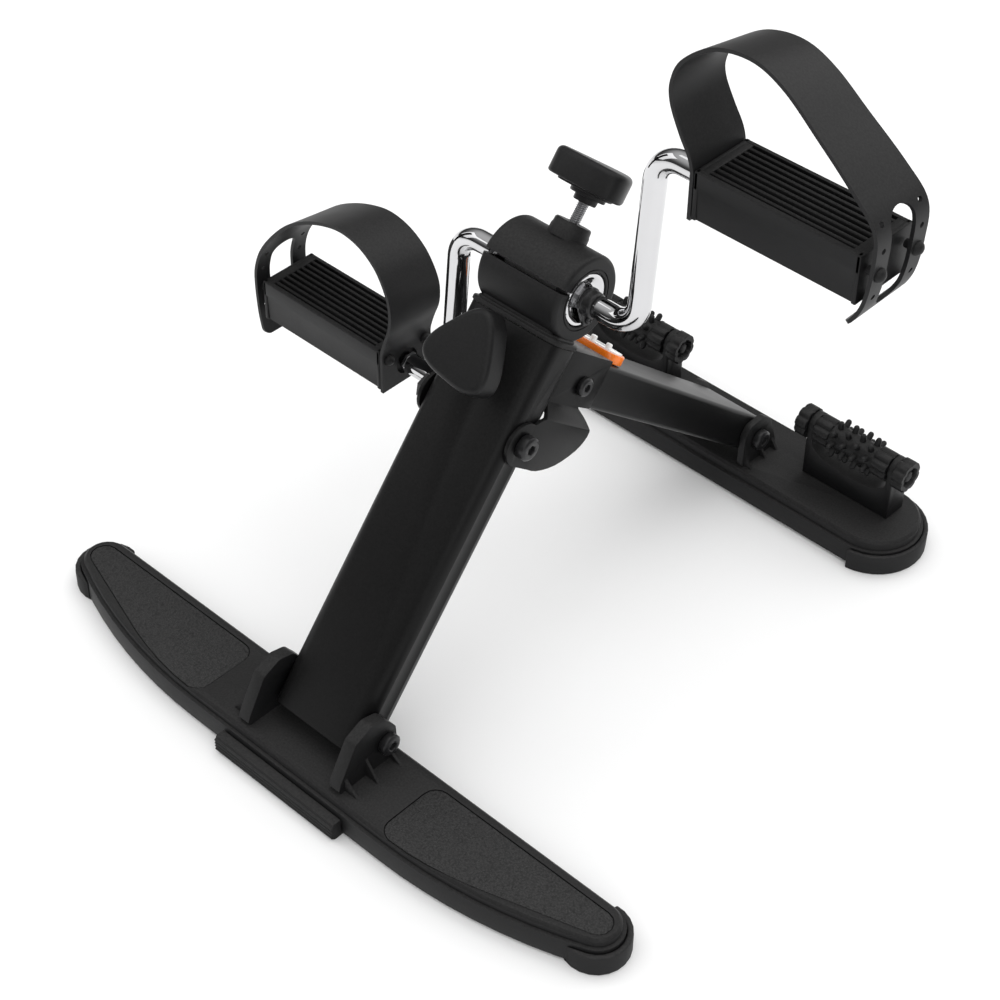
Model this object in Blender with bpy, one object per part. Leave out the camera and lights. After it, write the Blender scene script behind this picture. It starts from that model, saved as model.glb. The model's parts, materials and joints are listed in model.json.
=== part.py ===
"""Folding pedal exerciser with a friction brake, pedal counter and foot massage rollers.

Lengths are metres and +Z is up. The origin lies on the floor under the middle of the stand. +X runs
along the crank axis to the right, -Y to the curved front foot and +Y to the rear foot. The post leans
back, and most pieces on it are drawn in the post frame, whose Z runs up the post and whose Y runs
square to it, along the folding arm.
"""

import math

import bmesh
import bpy
from mathutils import Matrix, Vector

# Driving dimensions -------------------------------------------------------------------------------
GAP = 0.0003

POST_LEAN = math.radians(39.15)
POST_START = (0.0, -0.1644, 0.0220)
POST_WIDTH = 0.058
POST_DEPTH = 0.026
POST_CORNER = 0.008
POST_WALL = 0.0018
POST_BOTTOM = 0.0019
POST_TOP = 0.2334
ROCK_RADIUS = 0.0129

FOOT_BOLT_HEIGHT = 0.0148
LOCK_HEIGHT = 0.2125
PIVOT_HEIGHT = 0.1815
CRANK_HEIGHT = 0.2595
BOLT_RADIUS = 0.004
SCREW_RADIUS = 0.003

FRONT_TOP = 0.020
FRONT_GROOVE = 0.015
FRONT_REAR_EDGE = -0.1425
FRONT_EDGE = -0.194
FRONT_FLAT = 0.070
FRONT_SWEEP = 0.310
FRONT_TIP = 0.0145
PLATEAU_INSET = 0.002
FOOT_BOTTOM = 0.002
CAP_TOP = 0.013
CAP_FLOOR = 0.0017
CAP_PROUD = 0.0035
RIB_PITCH = 0.036
RIB_THICKNESS = 0.003

REAR_TOP = 0.020
REAR_GROOVE = 0.014
REAR_CENTRE = 0.17025
REAR_END = 0.02775
REAR_END_X = 0.105
REAR_BOLT_Y = 0.243
REAR_BOLT_Z = 0.215

DRUM_RADIUS = 0.0235
DRUM_HALF = 0.0264
DRUM_OPENING = 0.0145
SHELL_SPLIT = 0.0019
BRAKE_DRUM_RADIUS = 0.015
BOSS_TOP = 0.0305

CRANK_LEAN = math.radians(4.65)
CRANK_THROW = 0.0994
CRANK_OFFSET = 0.0593
CRANK_ROD = 0.006
CRANK_BEND = 0.016
SPINDLE_RADIUS = 0.0045
SPINDLE_END = 0.176
HUB_INNER = 0.0270
HUB_FLANGE = 0.0290
HUB_OUTER = 0.0342
HUB_EAR = 0.0099
SHAFT_END = 0.0300

PEDAL_INNER = 0.0945
PEDAL_OUTER = 0.1865
PEDAL_HALF_DEPTH = 0.0185
PEDAL_TOP = 0.0145
PEDAL_BOTTOM = -0.0115
SLATS = 9
STRAP_THICKNESS = 0.002
PEG_RADIUS = 0.0022
PEG_Y = 0.0136
INNER_PEG_Z = 0.0103
OUTER_PEG_Z = 0.0060

ARM_HALF_WIDTH = 0.0212
ARM_WALL = 0.002
ARM_START = 0.0182
ARM_FRONT_BOTTOM = 0.2056
ARM_FRONT_TOP = 0.2310
ARM_END = 0.0107
BRACKET_INNER = 0.0215
BRACKET_LEG = 0.0293
SHEET = 0.002

ROLLER_Y = 0.1755
ROLLER_Z = 0.0525
CRADLE_INNER = 0.0525
CRADLE_OUTER = 0.1127
CRADLE_FRONT = 0.1693
CRADLE_BACK = 0.1849
CRADLE_WALL = 0.0040
AXLE_RADIUS = 0.0030

COUNTER_Y = 0.0735
COUNTER_HALF_LENGTH = 0.0168
COUNTER_HALF_DEPTH = 0.0085
COUNTER_BOTTOM = 0.2304
COUNTER_TOP = 0.2355

KNOB_CORNER = 0.0345

# Colour, roughness and metallic value of each finish.
FINISHES = {
    "black_paint": ((0.012, 0.012, 0.013), 0.45, 0.0),
    "black_plastic": ((0.014, 0.014, 0.015), 0.50, 0.0),
    "textured_pad": ((0.018, 0.018, 0.019), 0.85, 0.0),
    "rubber": ((0.016, 0.016, 0.017), 0.75, 0.0),
    "chrome": ((0.78, 0.78, 0.79), 0.08, 1.0),
    "steel": ((0.55, 0.55, 0.56), 0.30, 1.0),
    "black_steel": ((0.03, 0.03, 0.032), 0.38, 0.6),
    "orange_plastic": ((0.90, 0.25, 0.02), 0.35, 0.0),
    "white_plastic": ((0.85, 0.85, 0.84), 0.35, 0.0),
    "screen": ((0.05, 0.06, 0.05), 0.15, 0.0),
}

SIDES = (("left", -1), ("right", 1))


# Frames -------------------------------------------------------------------------------------------
def frame_at(location, lean):
    """A frame at a place, turned about X so that its Z leans towards +Y by this angle."""
    return Matrix.Translation(location) @ Matrix.Rotation(-lean, 4, "X")


WORLD = Matrix.Identity(4)
POST = frame_at(POST_START, POST_LEAN)
CRANK = frame_at(POST @ Vector((0.0, 0.0, CRANK_HEIGHT)), CRANK_LEAN)


def pedal_frame(side):
    """The level frame of a pedal, on its spindle."""
    return Matrix.Translation(CRANK @ Vector((0.0, 0.0, side * CRANK_THROW)))


# Outlines -----------------------------------------------------------------------------------------
def arc(centre, radius, start, end, steps):
    """Points on an arc from one angle to another, in degrees, both ends included."""
    angles = [math.radians(start + (end - start) * i / steps) for i in range(steps + 1)]
    return [(centre[0] + radius * math.cos(a), centre[1] + radius * math.sin(a)) for a in angles]


def rectangle(x_low, x_high, y_low, y_high):
    return [(x_low, y_low), (x_high, y_low), (x_high, y_high), (x_low, y_high)]


def rounded_rectangle(half_x, half_y, radius, steps=4):
    """A rectangle about the origin with round corners."""
    points = []
    for x, y, start in ((1, 1, 0), (-1, 1, 90), (-1, -1, 180), (1, -1, 270)):
        centre = (x * (half_x - radius), y * (half_y - radius))
        points += arc(centre, radius, start, start + 90, steps)
    return points


def rounded(corners, radius, steps=3):
    """A polygon with every corner rounded; the radius shrinks where a side is too short for it."""
    points = []
    count = len(corners)
    for i, corner in enumerate(corners):
        here = Vector(corner)
        before = Vector(corners[i - 1]) - here
        after = Vector(corners[(i + 1) % count]) - here
        half = before.angle(after) / 2
        reach = min(radius / math.tan(half), 0.45 * before.length, 0.45 * after.length)
        for step in range(steps + 1):
            t = step / steps
            start = here + before.normalized() * reach
            end = here + after.normalized() * reach
            points.append(tuple(start * (1 - t) ** 2 + here * 2 * t * (1 - t) + end * t**2))
    return points


def smooth(points, steps):
    """A smooth open line through the points (Catmull-Rom)."""
    knots = [Vector(p) for p in points]
    knots = [2 * knots[0] - knots[1]] + knots + [2 * knots[-1] - knots[-2]]
    line = []
    for a, b, c, d in zip(knots, knots[1:], knots[2:], knots[3:]):
        for step in range(steps):
            t = step / steps
            bend = (2 * a - 5 * b + 4 * c - d) * t**2 + (3 * b - a - 3 * c + d) * t**3
            line.append(0.5 * (2 * b + (c - a) * t + bend))
    return line + [knots[-2]]


def mirrored(points, side):
    """The outline itself for the right side, or its mirror image about X = 0 for the left."""
    return [(side * x, y) for x, y in points]


def front_outline(grow=0.0):
    """The curved front foot seen from above, offset outwards by grow."""
    sweep_y = FRONT_EDGE + FRONT_SWEEP
    tip_x, tip_y = front_tip()
    meet = math.degrees(math.atan2(tip_y - sweep_y, tip_x - FRONT_FLAT))
    right = arc((FRONT_FLAT, sweep_y), FRONT_SWEEP + grow, -90, meet, 8)
    right += arc((tip_x, tip_y), FRONT_TIP + grow, meet, 90, 10)[1:]
    return right + [(-x, y) for x, y in reversed(right)]


def front_tip():
    """Centre of the round tip, where it touches both the straight rear edge and the sweep."""
    tip_y = FRONT_REAR_EDGE - FRONT_TIP
    drop = tip_y - (FRONT_EDGE + FRONT_SWEEP)
    return FRONT_FLAT + math.sqrt((FRONT_SWEEP - FRONT_TIP) ** 2 - drop**2), tip_y


def pad_outline(grow=0.0):
    """The textured pad on the right half of the front foot."""
    slope = 16.5
    front = arc((0.075, -0.011), 0.180 + grow, -90, slope - 90, 4)
    tip = arc((0.184, -0.1576), 0.0076 + grow, slope - 90, 90, 6)
    rear_corner = arc((0.0755, -0.158), 0.008 + grow, 90, 180, 4)
    front_corner = arc((0.0755, -0.183), 0.008 + grow, 180, 265, 4)
    return front + tip + rear_corner + front_corner


def rear_outline(grow=0.0):
    """The rear foot seen from above: a straight bar with round ends."""
    right = arc((REAR_END_X, REAR_CENTRE), REAR_END + grow, -90, 90, 16)
    return right + [(-x, 2 * REAR_CENTRE - y) for x, y in right]


# Solids -------------------------------------------------------------------------------------------
def loft(rings):
    """A closed solid through rings with the same number of points, with a face at each end."""
    bm = bmesh.new()
    loops = [[bm.verts.new(point) for point in ring] for ring in rings]
    for lower, upper in zip(loops, loops[1:]):
        for i in range(len(lower)):
            j = (i + 1) % len(lower)
            bm.faces.new((lower[i], lower[j], upper[j], upper[i]))
    bm.faces.new(loops[0])
    bm.faces.new(loops[-1])
    bmesh.ops.recalc_face_normals(bm, faces=bm.faces)
    return bm


def on_axis(axis, a, b, height):
    """A point at a height along an axis, with a and b in the plane square to it."""
    return {"X": (height, a, b), "Y": (a, height, b), "Z": (a, b, height)}[axis]


def prism(outline, low, high, axis="Z"):
    """An outline drawn out along an axis."""
    return loft([[on_axis(axis, a, b, height) for a, b in outline] for height in (low, high)])


def box(x_low, x_high, y_low, y_high, z_low, z_high):
    return prism(rectangle(x_low, x_high, y_low, y_high), z_low, z_high)


def turned(profile, axis="X", at=(0.0, 0.0), steps=16, ring=False):
    """A solid of revolution from (radius, height) points; a ring's profile closes on itself."""
    bm = bmesh.new()
    verts = [bm.verts.new(on_axis(axis, radius, 0.0, height)) for radius, height in profile]
    edges = [bm.edges.new(pair) for pair in zip(verts, verts[1:])]
    if ring:
        edges.append(bm.edges.new((verts[-1], verts[0])))
    direction = on_axis(axis, 0.0, 0.0, 1.0)
    bmesh.ops.spin(bm, geom=verts + edges, axis=direction, angle=2 * math.pi, steps=steps, use_merge=True)
    bmesh.ops.remove_doubles(bm, verts=bm.verts, dist=1e-6)
    bmesh.ops.translate(bm, verts=bm.verts, vec=on_axis(axis, at[0], at[1], 0.0))
    bmesh.ops.recalc_face_normals(bm, faces=bm.faces)
    return bm


def cylinder(radius, low, high, axis="X", at=(0.0, 0.0), steps=16):
    return prism(arc(at, radius, 0, 360 - 360 / steps, steps - 1), low, high, axis)


def tube(outer, inner, low, high, axis="X", at=(0.0, 0.0), steps=20):
    """A round ring or sleeve."""
    profile = [(outer, low), (outer, high), (inner, high), (inner, low)]
    return turned(profile, axis, at, steps, ring=True)


def hexagon(radius, low, high, axis="X", at=(0.0, 0.0)):
    return cylinder(radius, low, high, axis, at, steps=6)


def joined(*solids):
    """Several solids in one mesh, as a cutter with separate shells."""
    bm = solids[0]
    for other in solids[1:]:
        mesh = bpy.data.meshes.new("joined")
        other.to_mesh(mesh)
        other.free()
        bm.from_mesh(mesh)
        bpy.data.meshes.remove(mesh)
    return bm


def moved(bm, x=0.0, y=0.0, z=0.0):
    bmesh.ops.translate(bm, verts=bm.verts, vec=(x, y, z))
    return bm


# Objects ------------------------------------------------------------------------------------------
def clear_scene():
    for item in list(bpy.data.objects):
        bpy.data.objects.remove(item, do_unlink=True)


def make_material(name, finish):
    colour, roughness, metallic = FINISHES[finish]
    material = bpy.data.materials.new(name)
    material.use_nodes = True
    shader = material.node_tree.nodes["Principled BSDF"]
    shader.inputs["Base Color"].default_value = (*colour, 1.0)
    shader.inputs["Roughness"].default_value = roughness
    shader.inputs["Metallic"].default_value = metallic
    return material


def pivot(name, frame, parent=None):
    """An empty on a joint's axis, which carries the pieces of one moving body."""
    empty = bpy.data.objects.new(name, None)
    bpy.context.scene.collection.objects.link(empty)
    empty.empty_display_size = 0.02
    if parent:
        empty.parent = parent
        empty.matrix_parent_inverse = parent.matrix_world.inverted()
    empty.matrix_basis = frame
    bpy.context.view_layer.update()
    return empty


def mesh_object(name, bm):
    mesh = bpy.data.meshes.new(name)
    bm.to_mesh(mesh)
    bm.free()
    mesh.shade_smooth()
    mesh.set_sharp_from_angle(angle=math.radians(35))
    item = bpy.data.objects.new(name, mesh)
    bpy.context.scene.collection.objects.link(item)
    return item


def piece(name, bm, finish, frame, body):
    """One named sub-part, drawn in a frame and carried by a body's empty."""
    item = mesh_object(name, bm)
    item.data.materials.append(make_material(f"{name}_finish", finish))
    item.parent = body
    item.matrix_parent_inverse = body.matrix_world.inverted()
    item.matrix_basis = frame
    return item


def boolean(target, bm, operation):
    """Adds a hidden solid in the target's own frame, and cuts, joins or intersects the target with it."""
    modifier = target.modifiers.new(operation.lower(), "BOOLEAN")
    cutter = mesh_object(f"{target.name}_{operation.lower()}_{len(target.modifiers)}", bm)
    cutter.parent = target
    cutter.hide_render = True
    cutter.display_type = "WIRE"
    modifier.operation = operation
    modifier.object = cutter
    modifier.solver = "EXACT"


def cut(target, bm):
    boolean(target, bm, "DIFFERENCE")


def join(target, bm):
    boolean(target, bm, "UNION")


# Post and drum ------------------------------------------------------------------------------------
def lower_clearance():
    """The corner taken off the post's lower end, so that the front foot can rock both ways on its bolt."""
    outline = [(0.020, FOOT_BOLT_HEIGHT + 0.0121)]
    for degrees in (115, 130, 145, 160, 176):
        angle = math.radians(degrees)
        outline.append((ROCK_RADIUS * math.sin(angle), FOOT_BOLT_HEIGHT + ROCK_RADIUS * math.cos(angle)))
    outline += [(0.0009, FOOT_BOLT_HEIGHT - 0.020), (0.020, FOOT_BOLT_HEIGHT - 0.020)]
    return prism(outline, -0.04, 0.04, "X")


def make_post(body):
    half_x = POST_WIDTH / 2
    half_y = POST_DEPTH / 2
    post = piece(
        "post_tube",
        prism(rounded_rectangle(half_x, half_y, POST_CORNER), POST_BOTTOM, POST_TOP),
        "black_paint",
        POST,
        body,
    )
    bore = rounded_rectangle(half_x - POST_WALL, half_y - POST_WALL, POST_CORNER - POST_WALL)
    cut(post, prism(bore, POST_BOTTOM - 0.01, POST_TOP + 0.01))
    for height in (FOOT_BOLT_HEIGHT, PIVOT_HEIGHT):
        cut(post, cylinder(BOLT_RADIUS + GAP, -0.04, 0.04, "X", (0.0, height)))
    cut(post, cylinder(SCREW_RADIUS + GAP, -0.02, 0.02, "Y", (0.0, LOCK_HEIGHT)))
    cut(post, lower_clearance())

    inner = rounded_rectangle(half_x - POST_WALL - GAP, half_y - POST_WALL - GAP, POST_CORNER - POST_WALL)
    plug = piece("foot_plug", prism(inner, POST_BOTTOM, 0.032), "black_plastic", POST, body)
    cut(plug, cylinder(BOLT_RADIUS + GAP, -0.04, 0.04, "X", (0.0, FOOT_BOLT_HEIGHT)))
    cut(plug, lower_clearance())


def shell_ring():
    """The whole hollow drum, before it is split into an upper and a lower half."""
    inner_radius = DRUM_RADIUS - 0.0028
    inner_half = DRUM_HALF - 0.003
    profile = [
        (DRUM_OPENING, DRUM_HALF),
        (DRUM_RADIUS - 0.001, DRUM_HALF),
        (DRUM_RADIUS, DRUM_HALF - 0.001),
        (DRUM_RADIUS, 0.001 - DRUM_HALF),
        (DRUM_RADIUS - 0.001, -DRUM_HALF),
        (DRUM_OPENING, -DRUM_HALF),
        (DRUM_OPENING, -inner_half),
        (inner_radius, -inner_half),
        (inner_radius, inner_half),
        (DRUM_OPENING, inner_half),
    ]
    return turned(profile, "X", steps=32, ring=True)


def make_drum(body):
    drum = POST @ Matrix.Translation((0.0, 0.0, CRANK_HEIGHT))
    below = POST_TOP + GAP - CRANK_HEIGHT
    half_x = POST_WIDTH / 2
    half_y = POST_DEPTH / 2

    lower = piece("drum_lower_shell", shell_ring(), "black_plastic", drum, body)
    cut(lower, box(-0.04, 0.04, -0.04, 0.04, -SHELL_SPLIT, 0.04))
    neck = prism(rounded_rectangle(0.0245, 0.0115, 0.004), -0.0215, below + 0.001)
    join(lower, neck)
    flange = prism(rounded_rectangle(half_x + 0.0006, half_y + 0.0006, POST_CORNER), below, below + 0.0028)
    join(lower, flange)
    inner = rounded_rectangle(half_x - POST_WALL - GAP, half_y - POST_WALL - GAP, POST_CORNER - POST_WALL)
    join(lower, prism(inner, below - 0.0085, below + 0.001))

    upper = piece("drum_upper_shell", shell_ring(), "black_plastic", drum, body)
    cut(upper, box(-0.04, 0.04, -0.04, 0.04, -0.04, SHELL_SPLIT))
    join(upper, turned([(0.0, 0.0215), (0.0105, 0.0215), (0.0098, BOSS_TOP), (0.0, BOSS_TOP)], "Z"))
    cut(upper, cylinder(0.0064, 0.015, 0.0265, "Z"))
    cut(upper, cylinder(SCREW_RADIUS + GAP, 0.020, 0.040, "Z"))
    nut = piece("tension_nut", hexagon(0.0059, 0.0212, 0.0262, "Z"), "steel", drum, body)
    cut(nut, cylinder(SCREW_RADIUS + GAP, 0.010, 0.040, "Z"))

    for side_name, side in SIDES:
        ring = tube(DRUM_OPENING - GAP, CRANK_ROD + GAP, 0.0236, DRUM_HALF - 0.0006, "X")
        if side < 0:
            ring = moved(ring, x=-(DRUM_HALF - 0.0006 + 0.0236))
        piece(f"bearing_{side_name}", ring, "chrome", drum, body)


def socket_bolt(shank, head, start, seat, end):
    """A bolt along X: its shank from start to seat, and its head, with a hexagon socket, to end."""
    profile = [(0.0, start), (shank, start), (shank, seat), (head, seat), (head, end - 0.001)]
    return turned(profile + [(head - 0.0015, end), (0.0, end)])


def make_pivot(body):
    leg = BRACKET_LEG + SHEET + GAP
    axis = POST @ Matrix.Translation((0.0, 0.0, PIVOT_HEIGHT))
    bolt = socket_bolt(BOLT_RADIUS, 0.0066, -0.0375, leg, 0.0372)
    bolt = piece("pivot_bolt", bolt, "black_steel", axis, body)
    cut(bolt, hexagon(0.0028, 0.0345, 0.04))
    nut = piece("pivot_nut", hexagon(0.0072, -0.0370, -leg), "black_steel", axis, body)
    cut(nut, cylinder(BOLT_RADIUS + GAP, -0.04, -0.02))


# Front foot ---------------------------------------------------------------------------------------
def cells(edge_line, rear_y, half_length, top):
    """Cutter for the hollow underside of a foot, as a row of cells with ribs between them."""
    count = int(2 * half_length // RIB_PITCH)
    shells = []
    for i in range(count):
        middle = (i - (count - 1) / 2) * RIB_PITCH
        low = middle - (RIB_PITCH - RIB_THICKNESS) / 2
        high = middle + (RIB_PITCH - RIB_THICKNESS) / 2
        outline = [(low, edge_line(low)), (high, edge_line(high)), (high, rear_y), (low, rear_y)]
        shells.append(prism(outline, -0.01, top))
    return joined(*shells)


def front_wall(x):
    """Inner face of the front foot's front wall."""
    run = max(abs(x) - FRONT_FLAT, 0.0)
    radius = FRONT_SWEEP - 0.006
    return FRONT_EDGE + FRONT_SWEEP - math.sqrt(radius**2 - run**2)


def lug(outline, inner, outer, side):
    """An upright plate that carries a hinge bolt."""
    low, high = sorted((side * inner, side * outer))
    return prism(outline, low, high, "X")


def lug_rib(side, y, start, reach, floor, height):
    """A triangular rib that props a lug from outside."""
    outline = [(start - 0.001, floor - 0.001), (reach, floor - 0.001), (start - 0.001, height)]
    return prism(mirrored(outline, side), y - 0.0008, y + 0.0008, "Y")


def make_front_foot(body):
    rings = [
        (FOOT_BOTTOM, 0.0),
        (FRONT_GROOVE, 0.0),
        (FRONT_GROOVE, -PLATEAU_INSET),
        (FRONT_TOP - 0.0015, -PLATEAU_INSET),
        (FRONT_TOP, -PLATEAU_INSET - 0.0015),
    ]
    solid = loft([[(x, y, height) for x, y in front_outline(grow)] for height, grow in rings])
    base = piece("front_base", solid, "black_plastic", WORLD, body)
    cut(base, cells(front_wall, FRONT_REAR_EDGE - 0.006, 0.175, FRONT_TOP - 0.0045))

    bolt_y, bolt_z = (POST @ Vector((0.0, 0.0, FOOT_BOLT_HEIGHT))).yz
    floor = FRONT_TOP - 0.001
    outline = [(-0.1914, floor), (-0.1760, 0.0470), (-0.1650, 0.0520), (-0.1550, 0.0495), (-0.1480, 0.0400)]
    outline = rounded(outline + [(-0.1470, floor)], 0.005)
    for side in (-1, 1):
        join(base, lug(outline, 0.0300, 0.0375, side))
        places = ((-0.1525, 0.026), (-0.1692, 0.033), (-0.1836, 0.029))
        join(base, joined(*[lug_rib(side, y, 0.0375, 0.0470, FRONT_TOP, height) for y, height in places]))
    cut(base, cylinder(BOLT_RADIUS + GAP, -0.05, 0.05, "X", (bolt_y, bolt_z)))

    for side_name, side in SIDES:
        recess = mirrored(pad_outline(0.0004), side)
        cut(base, prism(recess, FRONT_TOP - 0.0015, 0.03))
        pad = prism(mirrored(pad_outline(), side), FRONT_TOP - 0.0015 + GAP, FRONT_TOP - 0.0002)
        piece(f"front_pad_{side_name}", pad, "textured_pad", WORLD, body)
        make_cap(f"front_cap_{side_name}", front_cap_outline(side), front_outline(GAP), body)

    strip = [(-0.1990, 0.0), (-0.2010, 0.0095), (-0.1995, 0.0115), (FRONT_EDGE - GAP, 0.0115)]
    strip += [(FRONT_EDGE - GAP, CAP_FLOOR), (-0.1820, CAP_FLOOR), (-0.1820, 0.0)]
    piece("front_foot_strip", prism(strip, -0.044, 0.044, "X"), "rubber", WORLD, body)

    axis = Matrix.Translation((0.0, bolt_y, bolt_z))
    bolt = socket_bolt(BOLT_RADIUS, 0.0062, -0.0440, 0.0378, 0.0425)
    bolt = piece("foot_bolt", bolt, "black_steel", axis, body)
    cut(bolt, hexagon(0.0026, 0.0400, 0.05))
    nut = piece("foot_nut", hexagon(0.0068, -0.0425, -0.0378), "black_steel", axis, body)
    cut(nut, cylinder(BOLT_RADIUS + GAP, -0.05, -0.03))


def front_cap_outline(side):
    """The rubber cap's outer line, round a tip of the front foot."""
    tip = front_tip()
    return mirrored(arc(tip, FRONT_TIP + CAP_PROUD, -122, 98, 14), side)


def make_cap(name, outline, foot, body):
    """A rubber cup under one end of a foot."""
    cap = piece(name, prism(outline, 0.0, CAP_TOP), "rubber", WORLD, body)
    cut(cap, prism(foot, CAP_FLOOR, CAP_TOP + 0.01))


# Folding arm --------------------------------------------------------------------------------------
def bracket_section():
    """Folded sheet across the bracket, in X and height: legs wide at the post, narrow on the arm."""
    narrow = BRACKET_INNER
    wide = BRACKET_LEG
    top = ARM_FRONT_TOP + GAP
    inner = [(wide, 0.160), (wide, 0.1965), (narrow, 0.2040), (narrow, top)]
    outer = [(narrow + SHEET, top + SHEET), (narrow + SHEET, 0.2046)]
    outer += [(wide + SHEET, 0.1971), (wide + SHEET, 0.160)]
    inner_left = [(-x, z) for x, z in reversed(inner)]
    outer_left = [(-x, z) for x, z in reversed(outer)]
    return inner + inner_left + outer_left + outer


def bracket_side():
    """Side view of the bracket, along the arm and up the post."""
    head = arc((0.0, PIVOT_HEIGHT), 0.012, 75, 262, 12)
    belly = [(0.0100, 0.1697), (0.0225, 0.1697), (0.0370, 0.1748), (0.0490, 0.1845), (0.0535, 0.1935)]
    belly = smooth(belly + [(0.0510, 0.2005), (0.0450, 0.2055)], 3)[1:]
    plate = [(0.0560, 0.2060), (0.0560, 0.2400), (0.0142, 0.2400), (0.0142, 0.2040), (0.0136, 0.2020)]
    notch = [(0.0126, 0.2005), (0.0114, 0.1985), (0.0100, 0.1972), (0.0070, 0.1962)]
    return head + [tuple(point) for point in belly] + plate + notch


def make_bracket(body):
    bracket = piece("fold_bracket", prism(bracket_section(), -0.02, 0.06, "Y"), "black_paint", POST, body)
    boolean(bracket, prism(bracket_side(), -0.05, 0.05, "X"), "INTERSECT")
    cut(bracket, cylinder(BOLT_RADIUS + GAP, -0.05, 0.05, "X", (0.0, PIVOT_HEIGHT)))
    place = (0.039, 0.2170)
    cut(bracket, cylinder(0.0027, -0.05, 0.05, "X", place))

    for side_name, side in SIDES:
        seat = BRACKET_INNER + SHEET + GAP
        profile = [(0.0, 0.017), (0.0024, 0.017), (0.0024, seat), (0.0054, seat), (0.0054, 0.0260)]
        profile += [(0.0042, 0.0272), (0.0, 0.0272)]
        screw = turned(mirrored_height(profile, side), "X", place)
        screw = piece(f"bracket_screw_{side_name}", screw, "black_steel", POST, body)
        low, high = sorted((side * 0.0250, side * 0.030))
        cut(screw, hexagon(0.0024, low, high, "X", place))


def mirrored_height(profile, side):
    return [(radius, side * height) for radius, height in profile]


def make_arm(body):
    bottom = REAR_BOLT_Z - ARM_END
    top = REAR_BOLT_Z + ARM_END
    end = arc((REAR_BOLT_Y, REAR_BOLT_Z), ARM_END, -90, 90, 12)
    outline = [(ARM_START, ARM_FRONT_BOTTOM)] + end + [(ARM_START, ARM_FRONT_TOP)]
    arm = piece("fold_arm", prism(outline, -ARM_HALF_WIDTH, ARM_HALF_WIDTH, "X"), "black_paint", POST, body)
    wall = ARM_WALL
    hollow = [(0.0, ARM_FRONT_BOTTOM + wall), (REAR_BOLT_Y, bottom + wall), (REAR_BOLT_Y, top - wall)]
    hollow.append((0.0, ARM_FRONT_TOP - wall))
    cut(arm, prism(hollow, wall - ARM_HALF_WIDTH, ARM_HALF_WIDTH - wall, "X"))
    cut(arm, cylinder(BOLT_RADIUS + GAP, -0.05, 0.05, "X", (REAR_BOLT_Y, REAR_BOLT_Z)))
    cut(arm, cylinder(0.0027, -0.05, 0.05, "X", (0.039, 0.2170)))

    plate = box(-0.0160, 0.0160, ARM_START, 0.0242, ARM_FRONT_BOTTOM + wall + GAP, 0.2240)
    plate = piece("lock_nut_plate", plate, "steel", POST, body)
    cut(plate, cylinder(SCREW_RADIUS + GAP, 0.0, 0.04, "Y", (0.0, LOCK_HEIGHT)))


def counter_outline(inset):
    """The counter's round-cornered outline on top of the arm, drawn in by inset."""
    line = rounded_rectangle(COUNTER_HALF_LENGTH - inset, COUNTER_HALF_DEPTH - inset, 0.007 - inset)
    return [(x, y + COUNTER_Y) for x, y in line]


def make_counter(body, buttons):
    case = prism(counter_outline(0.0), COUNTER_BOTTOM, COUNTER_TOP)
    case = piece("counter_case", case, "orange_plastic", POST, body)
    cut(case, prism(counter_outline(0.0015), COUNTER_BOTTOM + 0.0015, 0.25))
    face = prism(counter_outline(0.0018), COUNTER_TOP - 0.0015, COUNTER_TOP + 0.0008)
    face = piece("counter_face", face, "white_plastic", POST, body)
    window = rectangle(-0.0122, 0.0072, COUNTER_Y - 0.0005, COUNTER_Y + 0.0045)
    cut(face, prism(window, COUNTER_TOP - 0.0002, 0.25))
    glass = rectangle(-0.0119, 0.0069, COUNTER_Y - 0.0002, COUNTER_Y + 0.0042)
    piece("counter_screen", prism(glass, COUNTER_TOP + 0.0001, COUNTER_TOP + 0.0007), "screen", POST, body)
    for button_name, x in (("left", -0.0010), ("right", 0.0095)):
        at = (x, COUNTER_Y - 0.0045)
        cut(face, cylinder(0.0017 + GAP, 0.2, 0.25, "Z", at, 12))
        nub = cylinder(0.0017, COUNTER_TOP - 0.0012, COUNTER_TOP + 0.0038, "Z", at, 12)
        piece(f"counter_button_{button_name}", nub, "white_plastic", POST, buttons[button_name])


# Rear foot ----------------------------------------------------------------------------------------
def rear_wall(x):
    """Inner face of the rear foot's front wall."""
    run = max(abs(x) - REAR_END_X, 0.0)
    return REAR_CENTRE - math.sqrt((REAR_END - 0.006) ** 2 - run**2)


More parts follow.
